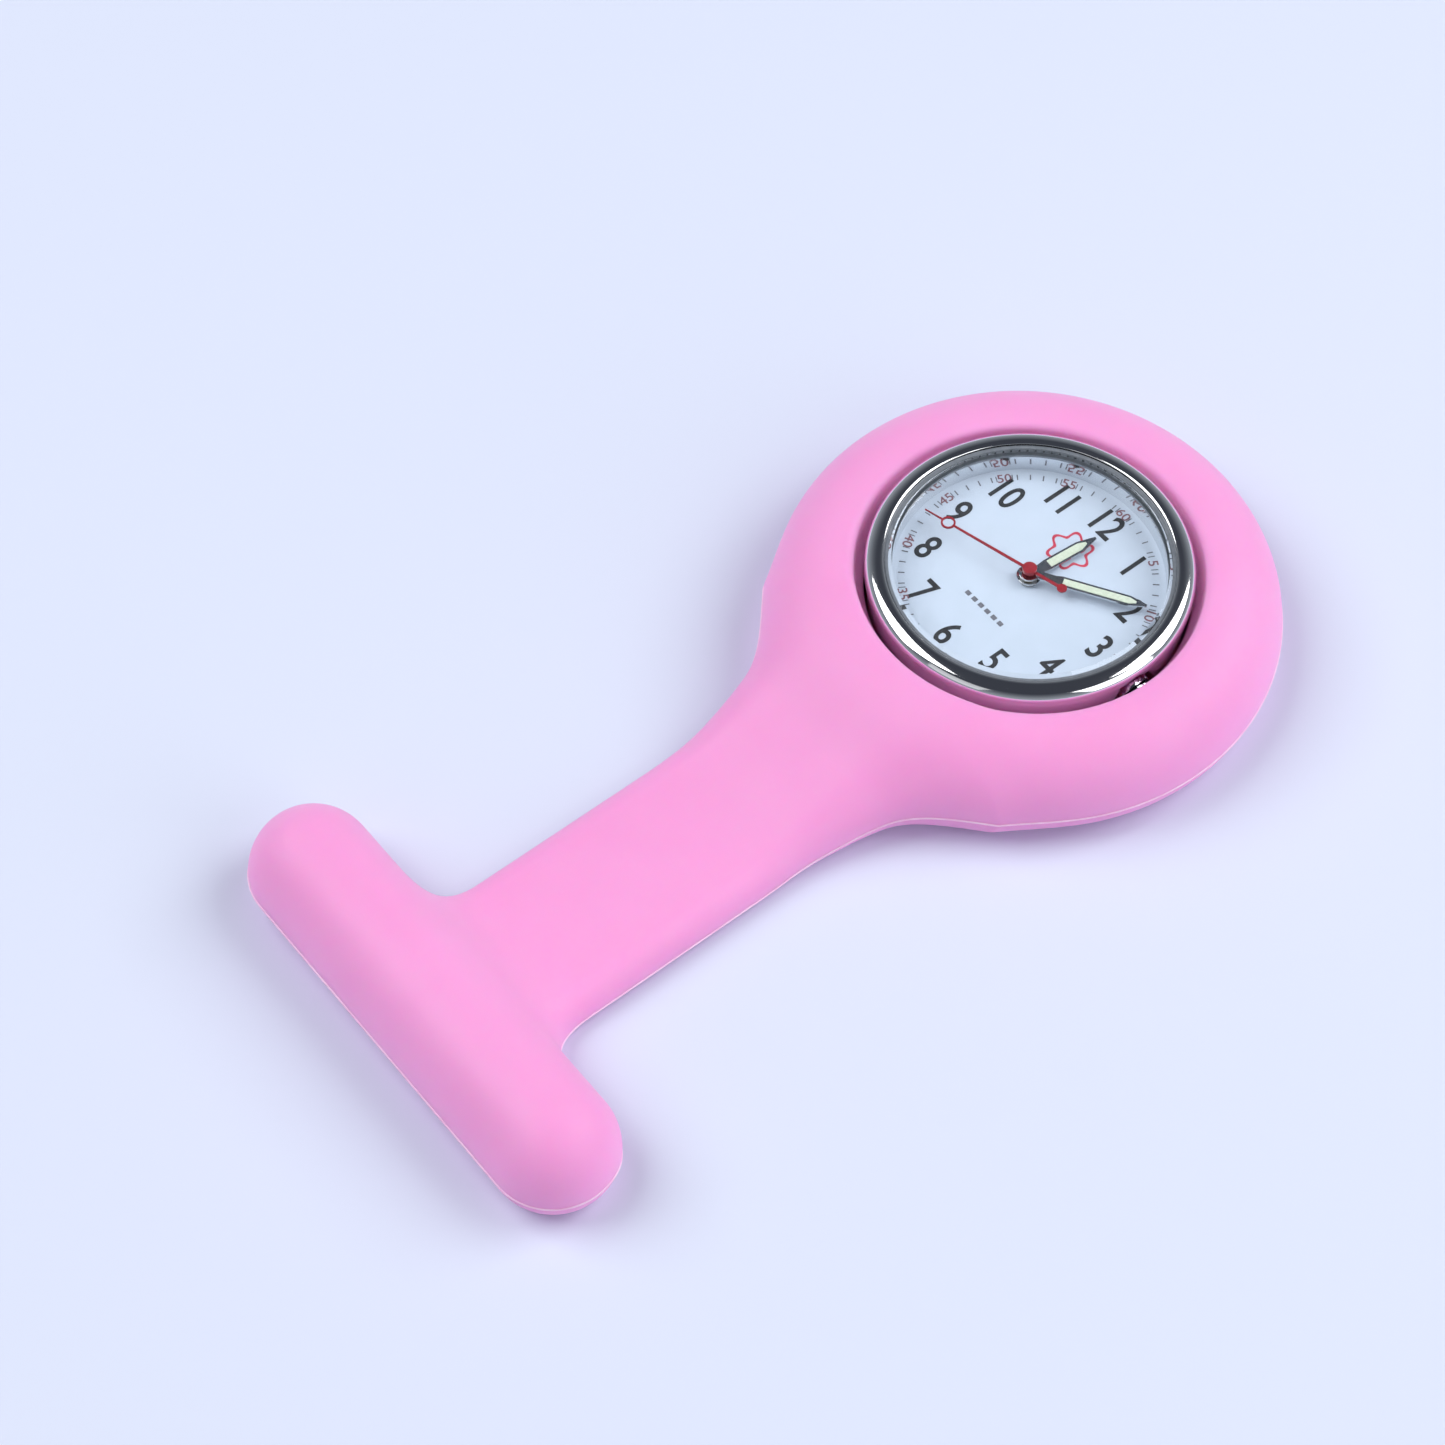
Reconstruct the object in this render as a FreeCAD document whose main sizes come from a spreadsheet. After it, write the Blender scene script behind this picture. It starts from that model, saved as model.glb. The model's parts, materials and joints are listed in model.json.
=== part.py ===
"""Silicone fob watch: a T-bar with a brooch pin, a flexible strap, and a pocket holding a quartz watch head.

Frame: X runs along the T-bar, +Y from the bar to the watch (12 o'clock), +Z out of the dial.
The watch lies on its back, with the origin under the middle of the whole outline. Millimetres.
"""
import FreeCAD, Part
import math
import os
import Sketcher

Vector = FreeCAD.Vector

# Driving dimensions, one spreadsheet row each. Heights are above the surface the watch lies on.
DIMENSIONS = {
    # silicone holder
    "bar_to_head": 61.5, "bar_length": 42.2, "bar_width": 10.5, "bar_height": 8.7, "bar_flat": 0.25,
    "bar_crest": 0.6, "strap_width": 15.0, "strap_thick": 3.0, "strap_rest": 0.3, "flare_radius": 22.0,
    "pocket_wall": 7.9, "pocket_round": 5.8, "pocket_under": 3.1, "pocket_floor": 1.3,
    "push_hole": 9.0, "lip_gap": 1.0, "lip_land": 0.5, "lip_fall": 0.4, "lip_depth": 2.9,
    "head_fit": 0.15,
    # brooch pin
    "recess_length": 35.0, "recess_width": 6.0, "recess_depth": 3.2, "plate_length": 33.0,
    "plate_width": 5.0, "sheet_metal": 0.5, "pin_reach": 28.0, "pin_height": 1.5, "needle_radius": 0.35,
    "rivet_radius": 0.3, "loop_radius": 0.9, "loop_width": 1.0, "running_fit": 0.06,
    "ear_depth": 1.9, "catch_length": 2.0, "catch_width": 2.6,
    # watch case
    "case_radius": 13.5, "case_wall": 1.2, "case_height": 6.9, "seat_wall": 0.6, "back_thick": 0.8,
    "gasket_thick": 0.4, "flange_thick": 0.5, "case_chamfer": 0.35, "bezel_overhang": 0.2,
    "bezel_width": 1.7, "bezel_height": 1.5, "bezel_drop": 0.9, "dial_cover": 0.9,
    "crystal_thick": 1.2, "crystal_sink": 0.05, "crystal_gasket_wall": 0.25, "small_fit": 0.05,
    # dial and hands
    "dial_depth": 1.2, "dial_thick": 0.4, "dial_hole": 0.85, "foot_radius": 0.35, "foot_length": 0.8,
    "foot_spread": 7.4, "hand_thick": 0.12, "hour_hand_lift": 0.4, "hand_step": 0.4,
    "hour_hand_length": 6.9, "hour_hand_width": 1.1, "minute_hand_gap": 1.3,
    "minute_hand_width": 1.0, "second_hand_gap": 0.9, "second_hand_width": 0.16, "ring_place": 8.15,
    "ring_radius": 0.62, "ring_wire": 0.16, "counter_place": 3.2, "counter_radius": 0.42,
    "lume_margin": 0.2, "hand_shoulder": 0.27, "shown_hours": 0.0, "shown_minutes": 9.0, "shown_seconds": 42.5,
    # movement
    "movement_radius": 8.9, "ring_bottom": 2.3, "plate_thick": 1.5, "works_radius": 3.9,
    "works_offset": 1.9, "works_depth": 0.8, "wheel_thick": 0.12, "pivot_radius": 0.1,
    "arbor_radius": 0.12, "bridge_thick": 0.35, "bridge_gap": 1.65, "pillar_radius": 0.5,
    "rotor_leaves": 6, "fifth_teeth": 36, "fifth_leaves": 8, "fourth_teeth": 40, "fourth_leaves": 8,
    "third_teeth": 60, "third_leaves": 8, "center_teeth": 64, "cannon_leaves": 10, "minute_teeth": 30,
    "minute_leaves": 8, "hour_teeth": 32, "setting_teeth": 16, "fine_module": 0.09,
    "seconds_module": 0.13, "center_module": 0.085, "motion_module": 0.1, "minute_wheel_angle": 50,
    "setting_wheel_angle": -10, "magnet_radius": 0.75, "magnet_height": 0.5, "air_gap": 0.2,
    "battery_radius": 2.9, "battery_height": 2.15, "coil_radius": 0.75, "coil_length": 4.8,
    # crown and setting work
    "stem_drop": 1.2, "stem_radius": 0.4, "stem_tip": 3.6, "stem_neck": 0.25, "neck_end": 6.4,
    "groove_place": 7.43, "groove_width": 0.45, "groove_radius": 0.2, "crown_radius": 2.0,
    "crown_length": 1.7, "crown_gap": 0.1, "crown_travel": 0.8, "crown_ribs": 24, "tube_radius": 0.75,
    "tube_reach": 0.8, "clutch_radius": 0.5, "clutch_length": 0.8, "clutch_place": 5.0,
    "clutch_travel": 0.6, "lever_arm": 1.6, "link_thick": 0.15, "link_width": 0.5, "link_pin": 0.1,
}


class Size:
    """A number that also carries the sheet formula it came from, so features can be bound to it."""

    def __init__(self, value, text):
        self.value = value
        self.text = text

    def _join(self, other, sign, result, swap=False):
        other = as_size(other)
        first, second = (other, self) if swap else (self, other)
        return Size(result(first.value, second.value), f"({first.text} {sign} {second.text})")

    def __add__(self, other):
        return self._join(other, "+", lambda a, b: a + b)

    def __radd__(self, other):
        return self._join(other, "+", lambda a, b: a + b, True)

    def __sub__(self, other):
        return self._join(other, "-", lambda a, b: a - b)

    def __rsub__(self, other):
        return self._join(other, "-", lambda a, b: a - b, True)

    def __mul__(self, other):
        return self._join(other, "*", lambda a, b: a * b)

    def __rmul__(self, other):
        return self._join(other, "*", lambda a, b: a * b, True)

    def __truediv__(self, other):
        return self._join(other, "/", lambda a, b: a / b)

    def __neg__(self):
        return Size(-self.value, f"(-1 * {self.text})")


def as_size(number):
    return number if isinstance(number, Size) else Size(float(number), f"{float(number):.6f}")


def root(size):
    return Size(math.sqrt(size.value), f"sqrt({size.text})")


def cosine(degrees):
    degrees = as_size(degrees)
    return Size(math.cos(math.radians(degrees.value)), f"cos({degrees.text} * 1 deg)")


def sine(degrees):
    degrees = as_size(degrees)
    return Size(math.sin(math.radians(degrees.value)), f"sin({degrees.text} * 1 deg)")


doc = FreeCAD.newDocument("FobWatch")
sheet = doc.addObject("Spreadsheet::Sheet", "Dims")
for row, (alias, number) in enumerate(DIMENSIONS.items(), start=1):
    sheet.set(f"A{row}", alias)
    sheet.set(f"B{row}", str(number))
    sheet.setAlias(f"B{row}", alias)
doc.recompute()


class Sizes:
    """Reads a driving dimension by its alias."""

    def __getattr__(self, alias):
        return Size(float(sheet.get(alias)), f"Dims.{alias}")


d = Sizes()
sub_parts = []


# ---------------------------------------------------------------- modelling helpers

def keep(thing, name):
    thing.Label = name
    sub_parts.append(thing)
    return thing


def place(thing, x=0, y=0, z=0):
    """Binds an object's position to sizes."""
    for axis, size in zip("xyz", (x, y, z)):
        thing.setExpression(f"Placement.Base.{axis}", as_size(size).text)
    return thing


def turn(thing, axis, degrees):
    """Sets the rotation axis and binds the angle."""
    thing.Placement.Rotation = FreeCAD.Rotation(Vector(*axis), as_size(degrees).value or 1e-9)
    thing.setExpression("Placement.Rotation.Angle", as_size(degrees).text + " * 1 deg")
    return thing


def new_body(name):
    return doc.addObject("PartDesign::Body", name)


def sketch_on(body, role, name, lift=0):
    """A sketch on one of the body's origin planes, lifted along the plane's normal."""
    sketch = body.newObject("Sketcher::SketchObject", name)
    plane = next(item for item in body.Origin.OriginFeatures if item.Role == role)
    sketch.AttachmentSupport = [(plane, "")]
    sketch.MapMode = "FlatFace"
    sketch.setExpression("AttachmentOffset.Base.z", as_size(lift).text)
    return sketch


def pin_point(sketch, geometry, end, point, label, axes="XY"):
    """Ties one end of a sketch element to bound coordinates."""
    for axis, size in zip("XY", point):
        if axis not in axes:
            continue
        size = as_size(size)
        rule = Sketcher.Constraint("Distance" + axis, -1, 1, geometry, end, size.value)
        index = sketch.addConstraint(rule)
        sketch.renameConstraint(index, label + axis)
        sketch.setExpression("Constraints." + label + axis, size.text)


def outline(sketch, path):
    """Draws a closed path of points. A point may carry an arc centre and a turn: the arc that ends there."""
    count = len(path)
    for number in range(count):
        begin = path[number]
        finish = path[(number + 1) % count]
        start, stop = (Vector(as_size(q[0]).value, as_size(q[1]).value, 0) for q in (begin, finish))
        corner_end = 1
        if len(finish) == 2:
            line = sketch.addGeometry(Part.LineSegment(start, stop))
        else:
            centre = Vector(as_size(finish[2]).value, as_size(finish[3]).value, 0)
            first, last = (start, stop) if finish[4] == "left" else (stop, start)
            angles = [math.atan2(q.y - centre.y, q.x - centre.x) for q in (first, last)]
            circle = Part.Circle(centre, Vector(0, 0, 1), (start - centre).Length)
            line = sketch.addGeometry(Part.ArcOfCircle(circle, angles[0], angles[1]))
            corner_end = 1 if finish[4] == "left" else 2
            chord = stop - start
            free_axis = "X" if abs(chord.y) > abs(chord.x) else "Y"
            pin_point(sketch, line, 3, (finish[2], finish[3]), f"centre{number}", free_axis)
        pin_point(sketch, line, corner_end, begin, f"corner{number}")
        far_end = 3 - corner_end
        if number:
            sketch.addConstraint(Sketcher.Constraint("Coincident", last_line, last_end, line, corner_end))
        else:
            first_line, first_end = line, corner_end
        last_line, last_end = line, far_end
    sketch.addConstraint(Sketcher.Constraint("Coincident", last_line, last_end, first_line, first_end))
    return sketch


def add_circle(sketch, radius, x=0, y=0, label="round"):
    radius = as_size(radius)
    centre = Vector(as_size(x).value, as_size(y).value, 0)
    ring = sketch.addGeometry(Part.Circle(centre, Vector(0, 0, 1), radius.value))
    pin_point(sketch, ring, 3, (x, y), label)
    index = sketch.addConstraint(Sketcher.Constraint("Radius", ring, radius.value))
    sketch.renameConstraint(index, label + "radius")
    sketch.setExpression(f"Constraints.{label}radius", radius.text)


def pad(body, sketch, thick):
    feature = body.newObject("PartDesign::Pad", sketch.Name + "_pad")
    feature.Profile = sketch
    feature.setExpression("Length", as_size(thick).text)
    return feature


def revolve(body, path, name="profile"):
    """Turns a closed (radius, height) path about the body's Z axis."""
    sketch = outline(sketch_on(body, "XZ_Plane", name), path)
    feature = body.newObject("PartDesign::Revolution", name + "_turned")
    feature.Profile = sketch
    feature.ReferenceAxis = (sketch, ["V_Axis"])
    feature.Angle = 360
    return feature


def cut_down(body, sketch, depth, upward=False):
    """Pockets a sketch into the solid, downward from the sketch plane unless told otherwise."""
    feature = body.newObject("PartDesign::Pocket", sketch.Name + "_cut")
    feature.Profile = sketch
    feature.setExpression("Length", as_size(depth).text)
    feature.Reversed = upward
    return feature


def turned(name, path, x=0, y=0, z=0):
    body = new_body(name)
    revolve(body, path)
    return keep(place(body, x, y, z), name)


def ring_path(inner, outer, low, high):
    return [(inner, low), (outer, low), (outer, high), (inner, high)]


def polar_teeth(body, feature, count):
    """Repeats one tooth all round the Z axis and makes the pattern the body's tip."""
    pattern = body.newObject("PartDesign::PolarPattern", feature.Name + "_round")
    pattern.Originals = [feature]
    axis = next(item for item in body.Origin.OriginFeatures if item.Role == "Z_Axis")
    pattern.Axis = (axis, [""])
    pattern.Angle = 360
    pattern.setExpression("Occurrences", as_size(count).text)
    body.Tip = pattern


def add_teeth(body, name, teeth, module, low, thick):
    """Teeth of one wheel: a narrow flank from below the root circle to a blunt tip."""
    pitch = teeth * module / 2
    root_radius = pitch - 1.3 * module
    tip_radius = pitch + 0.85 * module
    base_half = 0.72 * module
    pitch_half = 0.62 * module
    tip_half = 0.25 * module
    path = [(root_radius, -base_half), (pitch, -pitch_half), (tip_radius, -tip_half),
            (tip_radius, tip_half), (pitch, pitch_half), (root_radius, base_half)]
    sketch = outline(sketch_on(body, "XY_Plane", name, low), path)
    polar_teeth(body, pad(body, sketch, thick), teeth)


def root_of(teeth, module):
    """Radius of the solid disc that carries the teeth."""
    return teeth * module / 2 - module


def box(name, low, high):
    """A Part box between two bound corners."""
    block = doc.addObject("Part::Box", name)
    for field, axis in (("Length", 0), ("Width", 1), ("Height", 2)):
        block.setExpression(field, (as_size(high[axis]) - low[axis]).text)
    return place(block, *low)


def rod(name, radius, length, start, axis="z"):
    """A Part cylinder from a bound start point along an axis."""
    cylinder = doc.addObject("Part::Cylinder", name)
    cylinder.setExpression("Radius", as_size(radius).text)
    cylinder.setExpression("Height", as_size(length).text)
    if axis == "x":
        cylinder.Placement.Rotation = FreeCAD.Rotation(Vector(0, 1, 0), 90)
    if axis == "y":
        cylinder.Placement.Rotation = FreeCAD.Rotation(Vector(1, 0, 0), -90)
    return place(cylinder, *start)


def joined(name, pieces):
    union = doc.addObject("Part::MultiFuse", name)
    union.Shapes = pieces
    return union


def without(name, base, tools):
    result = doc.addObject("Part::Cut", name)
    result.Base = base
    result.Tool = tools[0] if len(tools) == 1 else joined(name + "_tools", tools)
    return result


# ---------------------------------------------------------------- shared places and levels

pocket_radius = d.case_radius + d.pocket_wall
lip_radius = d.case_radius + d.lip_gap
bar_corner = d.bar_width / 2 - d.bar_flat
bar_round = bar_corner - d.bar_crest
head_y = (d.bar_width / 2 + d.bar_to_head - pocket_radius) / 2
bar_y = head_y - d.bar_to_head
strap_top = d.strap_rest + d.strap_thick

case_bore = d.case_radius - d.case_wall
back_seat = d.case_radius - d.seat_wall
bezel_radius = d.case_radius + d.bezel_overhang
dial_opening = case_bore - d.dial_cover
back_low = d.pocket_floor
back_high = back_low + d.back_thick
case_top = back_low + d.case_height
flange_low = case_top - d.flange_thick
bezel_inner = bezel_radius - d.bezel_width
bezel_top = case_top + d.bezel_height
crystal_radius = bezel_inner - d.crystal_gasket_wall
crystal_low = bezel_top - d.crystal_sink - d.crystal_thick
dial_top = flange_low - d.dial_depth
dial_low = dial_top - d.dial_thick
stem_height = dial_low - d.stem_drop
minute_hand_length = dial_opening - d.minute_hand_gap
second_hand_length = dial_opening - d.second_hand_gap

plate_low = dial_low - d.plate_thick
works_floor = dial_low - d.works_depth
center_low = plate_low - 0.35
third_low = center_low - 0.45
fourth_low = third_low - 0.3
fifth_low = fourth_low - 0.38
bridge_high = plate_low - d.bridge_gap
bridge_low = bridge_high - d.bridge_thick

rotor_distance = (d.rotor_leaves + d.fifth_teeth) * d.fine_module / 2
fifth_x = -((d.fifth_leaves + d.fourth_teeth) * d.seconds_module / 2)
rotor_x = fifth_x - rotor_distance
third_y = (d.fourth_leaves + d.third_teeth) * d.fine_module / 2
minute_distance = (d.cannon_leaves + d.minute_teeth) * d.motion_module / 2
minute_x = minute_distance * cosine(d.minute_wheel_angle)
minute_y = minute_distance * sine(d.minute_wheel_angle)
setting_distance = (d.minute_teeth + d.setting_teeth) * d.motion_module / 2
setting_x = minute_x + setting_distance * cosine(d.setting_wheel_angle)
setting_y = minute_y + setting_distance * sine(d.setting_wheel_angle)
battery_y = -(d.movement_radius - d.battery_radius - 0.15)

hour_hand_low = dial_top + d.hour_hand_lift
minute_hand_low = hour_hand_low + d.hand_step
second_hand_low = minute_hand_low + d.hand_step
second_angle = 6 * d.shown_seconds
clutch_waist = d.stem_neck + 0.08
minute_angle = 6 * (d.shown_minutes + d.shown_seconds / 60)
hour_angle = 30 * (d.shown_hours + d.shown_minutes / 60 + d.shown_seconds / 3600)


def at_head(thing, x=0, y=0, z=0):
    """Places an object given in watch-head coordinates."""
    return place(thing, x, head_y + y, z)


# ---------------------------------------------------------------- silicone holder and brooch

def silicone_bar():
    """T-bar: a pill in plan with a domed top and a recess underneath for the brooch."""
    body = new_body("silicone_bar")
    half = d.bar_length / 2
    side = d.bar_width / 2
    inset = half - bar_corner
    step = side - bar_corner
    path = [(-inset, -side), (inset, -side), (half, -step, inset, -step, "left"), (half, step),
            (inset, side, inset, step, "left"), (-inset, side),
            (-half, step, -inset, step, "left"), (-half, -step)]
    path[0] = (-inset, -side, -inset, -step, "left")
    shell = pad(body, outline(sketch_on(body, "XY_Plane", "bar_outline"), path), d.bar_height)
    doc.recompute()
    top_edges = [f"Edge{number}" for number, edge in enumerate(shell.Shape.Edges, start=1)
                 if edge.BoundBox.ZMin > shell.Shape.BoundBox.ZMax - 0.01]
    dome = body.newObject("PartDesign::Fillet", "bar_dome")
    dome.Base = (shell, top_edges)
    dome.setExpression("Radius", bar_round.text)
    recess = sketch_on(body, "XY_Plane", "bar_recess")
    long_side = d.recess_length / 2
    short_side = d.recess_width / 2
    outline(recess, [(-long_side, -short_side), (long_side, -short_side),
                     (long_side, short_side), (-long_side, short_side)])
    cut_down(body, recess, d.recess_depth, upward=True)
    keep(place(body, 0, bar_y, 0), "silicone_bar")


def silicone_strap():
    """Flexible strap between the bar and the flare of the pocket."""
    side = d.strap_width / 2
    low = (-side, bar_y + d.bar_width / 2, d.strap_rest)
    high = (side, head_y - flare_start(), strap_top)
    keep(box("silicone_strap", low, high), "silicone_strap")


def flare_start():
    """Distance below the head centre where the strap starts to widen, tangent to the flare arcs."""
    reach = pocket_radius + d.flare_radius
    side = d.strap_width / 2 + d.flare_radius
    return root(reach * reach - side * side)


def silicone_pocket():
    """Round pocket with a rolled rim, a push-out hole underneath and a flare into the strap."""
    body = new_body("silicone_pocket")
    bore = d.case_radius + d.head_fit
    top = d.pocket_under + d.pocket_round
    under_x = pocket_radius - d.pocket_under
    dome_x = pocket_radius - d.pocket_round
    revolve(body, [(d.push_hole, 0), (under_x, 0),
                   (pocket_radius, d.pocket_under, under_x, d.pocket_under, "left"),
                   (dome_x, top, dome_x, d.pocket_under, "left"), (lip_radius + d.lip_land, top),
                   (lip_radius, top - d.lip_fall), (bore, top - d.lip_depth),
                   (bore, d.pocket_floor), (d.push_hole, d.pocket_floor)])
    side = d.strap_width / 2
    share = pocket_radius / (pocket_radius + d.flare_radius)
    centre_x = side + d.flare_radius
    touch_x = centre_x * share
    touch_y = -flare_start() * share
    flare = sketch_on(body, "XY_Plane", "flare", d.strap_rest)
    outline(flare, [(-side, -flare_start(), -centre_x, -flare_start(), "right"), (side, -flare_start()),
                    (touch_x, touch_y, centre_x, -flare_start(), "right"), (-touch_x, touch_y)])
    pad(body, flare, d.strap_thick)
    crown_room = sketch_on(body, "YZ_Plane", "crown_room", d.case_radius - 1)
    add_circle(crown_room, d.crown_radius + 3 * d.head_fit, 0, stem_height)
    reach = d.crown_length + d.crown_travel + 1.5
    cut_down(body, crown_room, reach, upward=True)
    keep(at_head(body), "silicone_pocket")


def brooch():
    """Stamped plate moulded into the bar, with hinge ears, a rivet, a sprung needle and a hook."""
    plate_high = d.recess_depth
    plate_low_z = plate_high - d.sheet_metal
    half = d.plate_length / 2
    side = d.plate_width / 2
    hinge_x = -(d.pin_reach / 2)
    plate = box("brooch_blank", (-half, bar_y - side, plate_low_z), (half, bar_y + side, plate_high))
    ears = []
    for sign in (-1, 1):
        inner = sign * (d.loop_width / 2 + 2 * d.running_fit)
        outer = inner + sign * d.sheet_metal
        low_y, high_y = (inner, outer) if sign > 0 else (outer, inner)
        ears.append(box("ear", (hinge_x - d.loop_radius, bar_y + low_y, plate_high - d.sheet_metal - d.ear_depth),
                        (hinge_x + d.loop_radius, bar_y + high_y, plate_low_z)))
    rivet_half = d.loop_width / 2 + 2 * d.running_fit + 1.4 * d.sheet_metal
    rivet_at = (hinge_x, bar_y - rivet_half, d.pin_height)
    keep(rod("brooch_rivet", d.rivet_radius, 2 * rivet_half, rivet_at, "y"), "brooch_rivet")
    rivet_hole = rod("rivet_hole", d.rivet_radius, 2 * rivet_half, rivet_at, "y")
    keep(without("brooch_plate", joined("brooch_bent", [plate] + ears), [rivet_hole]), "brooch_plate")

    loop_half = d.loop_width / 2
    loop = rod("needle_loop", d.loop_radius, d.loop_width, (hinge_x, bar_y - loop_half, d.pin_height), "y")
    wire = rod("needle_wire", d.needle_radius, d.pin_reach + 0.4, (hinge_x, bar_y, d.pin_height), "x")
    eye = rod("needle_eye", d.rivet_radius + d.running_fit, 2 * d.loop_width,
              (hinge_x, bar_y - d.loop_width, d.pin_height), "y")
    keep(without("brooch_needle", joined("needle_blank", [loop, wire]), [eye]), "brooch_needle")

    hook_x = d.pin_reach / 2 - d.catch_length
    hook_low = d.pin_height - 2 * d.needle_radius
    block = box("hook_block", (hook_x, bar_y - d.catch_width / 2, hook_low),
                (hook_x + d.catch_length, bar_y + d.catch_width / 2, plate_low_z))
    mouth = d.needle_radius + 2 * d.running_fit
    slot = box("hook_mouth", (hook_x - 1, bar_y - mouth, hook_low - 1),
               (hook_x + d.catch_length + 1, bar_y + mouth, d.pin_height + mouth))
    keep(without("brooch_catch", block, [slot]), "brooch_catch")


# ---------------------------------------------------------------- case

def case_body():
    body = new_body("case_body")
    cut = d.case_chamfer
    seat_top = back_high + d.gasket_thick
    revolve(body, [(back_seat, back_low), (d.case_radius - cut, back_low),
                   (d.case_radius, back_low + 2 * cut), (d.case_radius, case_top),
                   (dial_opening, case_top), (dial_opening, flange_low),
                   (case_bore, flange_low), (case_bore, seat_top), (back_seat, seat_top)])
    stem_hole = sketch_on(body, "YZ_Plane", "stem_hole", case_bore - 1)
    add_circle(stem_hole, d.tube_radius, 0, stem_height)
    cut_down(body, stem_hole, 3, upward=True)
    keep(at_head(body), "case_body")


def case_rings():
    """Back, gaskets, bezel, crystal and the polished ring between dial and crystal."""
    press = back_high + d.gasket_thick / 2
    ring_out = case_bore - 3 * d.small_fit
    turned("case_back", [(0, back_low), (back_seat, back_low), (back_seat, back_high),
                         (ring_out, back_high), (ring_out, press), (ring_out - 0.5, press),
                         (ring_out - 0.5, back_high), (0, back_high)], 0, head_y)
    turned("case_back_gasket", ring_path(case_bore + d.small_fit, back_seat - d.small_fit, back_high,
                                         back_high + d.gasket_thick), 0, head_y)
    edge = bezel_top - d.bezel_drop
    middle = (bezel_inner + bezel_radius) / 2
    turned("bezel", [(bezel_inner, case_top), (bezel_radius, case_top), (bezel_radius, edge),
                     (middle, bezel_top - d.bezel_drop / 4), (bezel_inner, bezel_top)], 0, head_y)
    turned("crystal_gasket", [(dial_opening, case_top), (bezel_inner, case_top),
                              (bezel_inner, bezel_top - 0.3), (crystal_radius, bezel_top - 0.3),
                              (crystal_radius, crystal_low), (dial_opening, crystal_low)], 0, head_y)
    turned("crystal", [(0, crystal_low), (crystal_radius, crystal_low),
                       (crystal_radius, crystal_low + d.crystal_thick), (0, crystal_low + d.crystal_thick)],
           0, head_y)
    turned("dial_ring", ring_path(dial_opening, case_bore - d.small_fit, dial_top, flange_low), 0, head_y)


# ---------------------------------------------------------------- dial and hands

def dial():
    disc = at_head(rod("dial_disc", case_bore - d.small_fit, d.dial_thick, (0, 0, 0)), 0, 0, dial_low)
    feet = []
    for sign in (-1, 1):
        foot = rod("dial_foot", d.foot_radius, d.foot_length, (0, 0, 0))
        feet.append(at_head(foot, sign * d.foot_spread * cosine(45), -sign * d.foot_spread * sine(45),
                            dial_low - d.foot_length))
    hole = at_head(rod("dial_centre", d.dial_hole, 2 * d.dial_thick, (0, 0, 0)), 0, 0,
                   dial_low - d.dial_thick / 2)
    keep(without("dial", joined("dial_blank", [disc] + feet), [hole]), "dial")


def baton(name, length, width, hub, bore, low, angle):
    """A pointed baton hand with a narrow neck, pointing at its place on the dial."""
    body = new_body(name)
    half = width / 2
    neck = hub * 0.45
    shoulder = length * d.hand_shoulder
    point = length - 1.5 * width
    blade = sketch_on(body, "XY_Plane", name + "_blade")
    outline(blade, [(-neck, 0), (neck, 0), (neck, shoulder - half), (half, shoulder), (half, point),
                    (half * 0.2, length), (-half * 0.2, length), (-half, point), (-half, shoulder),
                    (-neck, shoulder - half)])
    pad(body, blade, d.hand_thick)
    disc = sketch_on(body, "XY_Plane", name + "_hub")
    add_circle(disc, hub)
    pad(body, disc, d.hand_thick)
    hole = sketch_on(body, "XY_Plane", name + "_bore", d.hand_thick)
    add_circle(hole, bore)
    cut_down(body, hole, 2 * d.hand_thick)
    turn(body, (0, 0, -1), angle)
    keep(at_head(body, 0, 0, low), name)


def lume(name, length, width, low, angle):
    """Luminous fill lying on a baton hand."""
    body = new_body(name)
    half = width / 2 - d.lume_margin
    start = length * d.hand_shoulder + d.lume_margin
    finish = length - 1.5 * width
    fill = sketch_on(body, "XY_Plane", name + "_fill")
    outline(fill, [(-half, start), (half, start), (half, finish), (half * 0.3, finish + width * 0.6),
                   (-half * 0.3, finish + width * 0.6), (-half, finish)])
    pad(body, fill, d.hand_thick / 3)
    turn(body, (0, 0, -1), angle)
    keep(at_head(body, 0, 0, low + d.hand_thick), name)


def second_hand():
    """Needle with an open ring near the tip, a round counterweight and a boss cap."""
    body = new_body("second_hand")
    half = d.second_hand_width / 2
    needle = sketch_on(body, "XY_Plane", "second_needle")
    outline(needle, [(-half * 1.6, -d.counter_place), (half * 1.6, -d.counter_place),
                     (half * 1.6, 0), (half, d.ring_place), (half * 0.5, second_hand_length),
                     (-half * 0.5, second_hand_length), (-half, d.ring_place), (-half * 1.6, 0)])
    pad(body, needle, d.hand_thick)
    discs = (("ring_disc", d.ring_radius, d.ring_place), ("counterweight", d.counter_radius, -d.counter_place))
    for label, radius, along in discs:
        disc = sketch_on(body, "XY_Plane", label)
        add_circle(disc, radius, 0, along)
        pad(body, disc, d.hand_thick)
    window = sketch_on(body, "XY_Plane", "ring_window", d.hand_thick)
    add_circle(window, d.ring_radius - d.ring_wire, 0, d.ring_place)
    cut_down(body, window, 2 * d.hand_thick)
    cap = sketch_on(body, "XY_Plane", "boss_cap")
    add_circle(cap, 5 * d.arbor_radius)
    pad(body, cap, 3 * d.hand_thick)
    bore = sketch_on(body, "XY_Plane", "second_bore")
    add_circle(bore, d.arbor_radius)
    cut_down(body, bore, 2 * d.hand_thick, upward=True)
    turn(body, (0, 0, -1), second_angle)
    keep(at_head(body, 0, 0, second_hand_low), "second_hand")


# ---------------------------------------------------------------- going train, seconds at the centre

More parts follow.
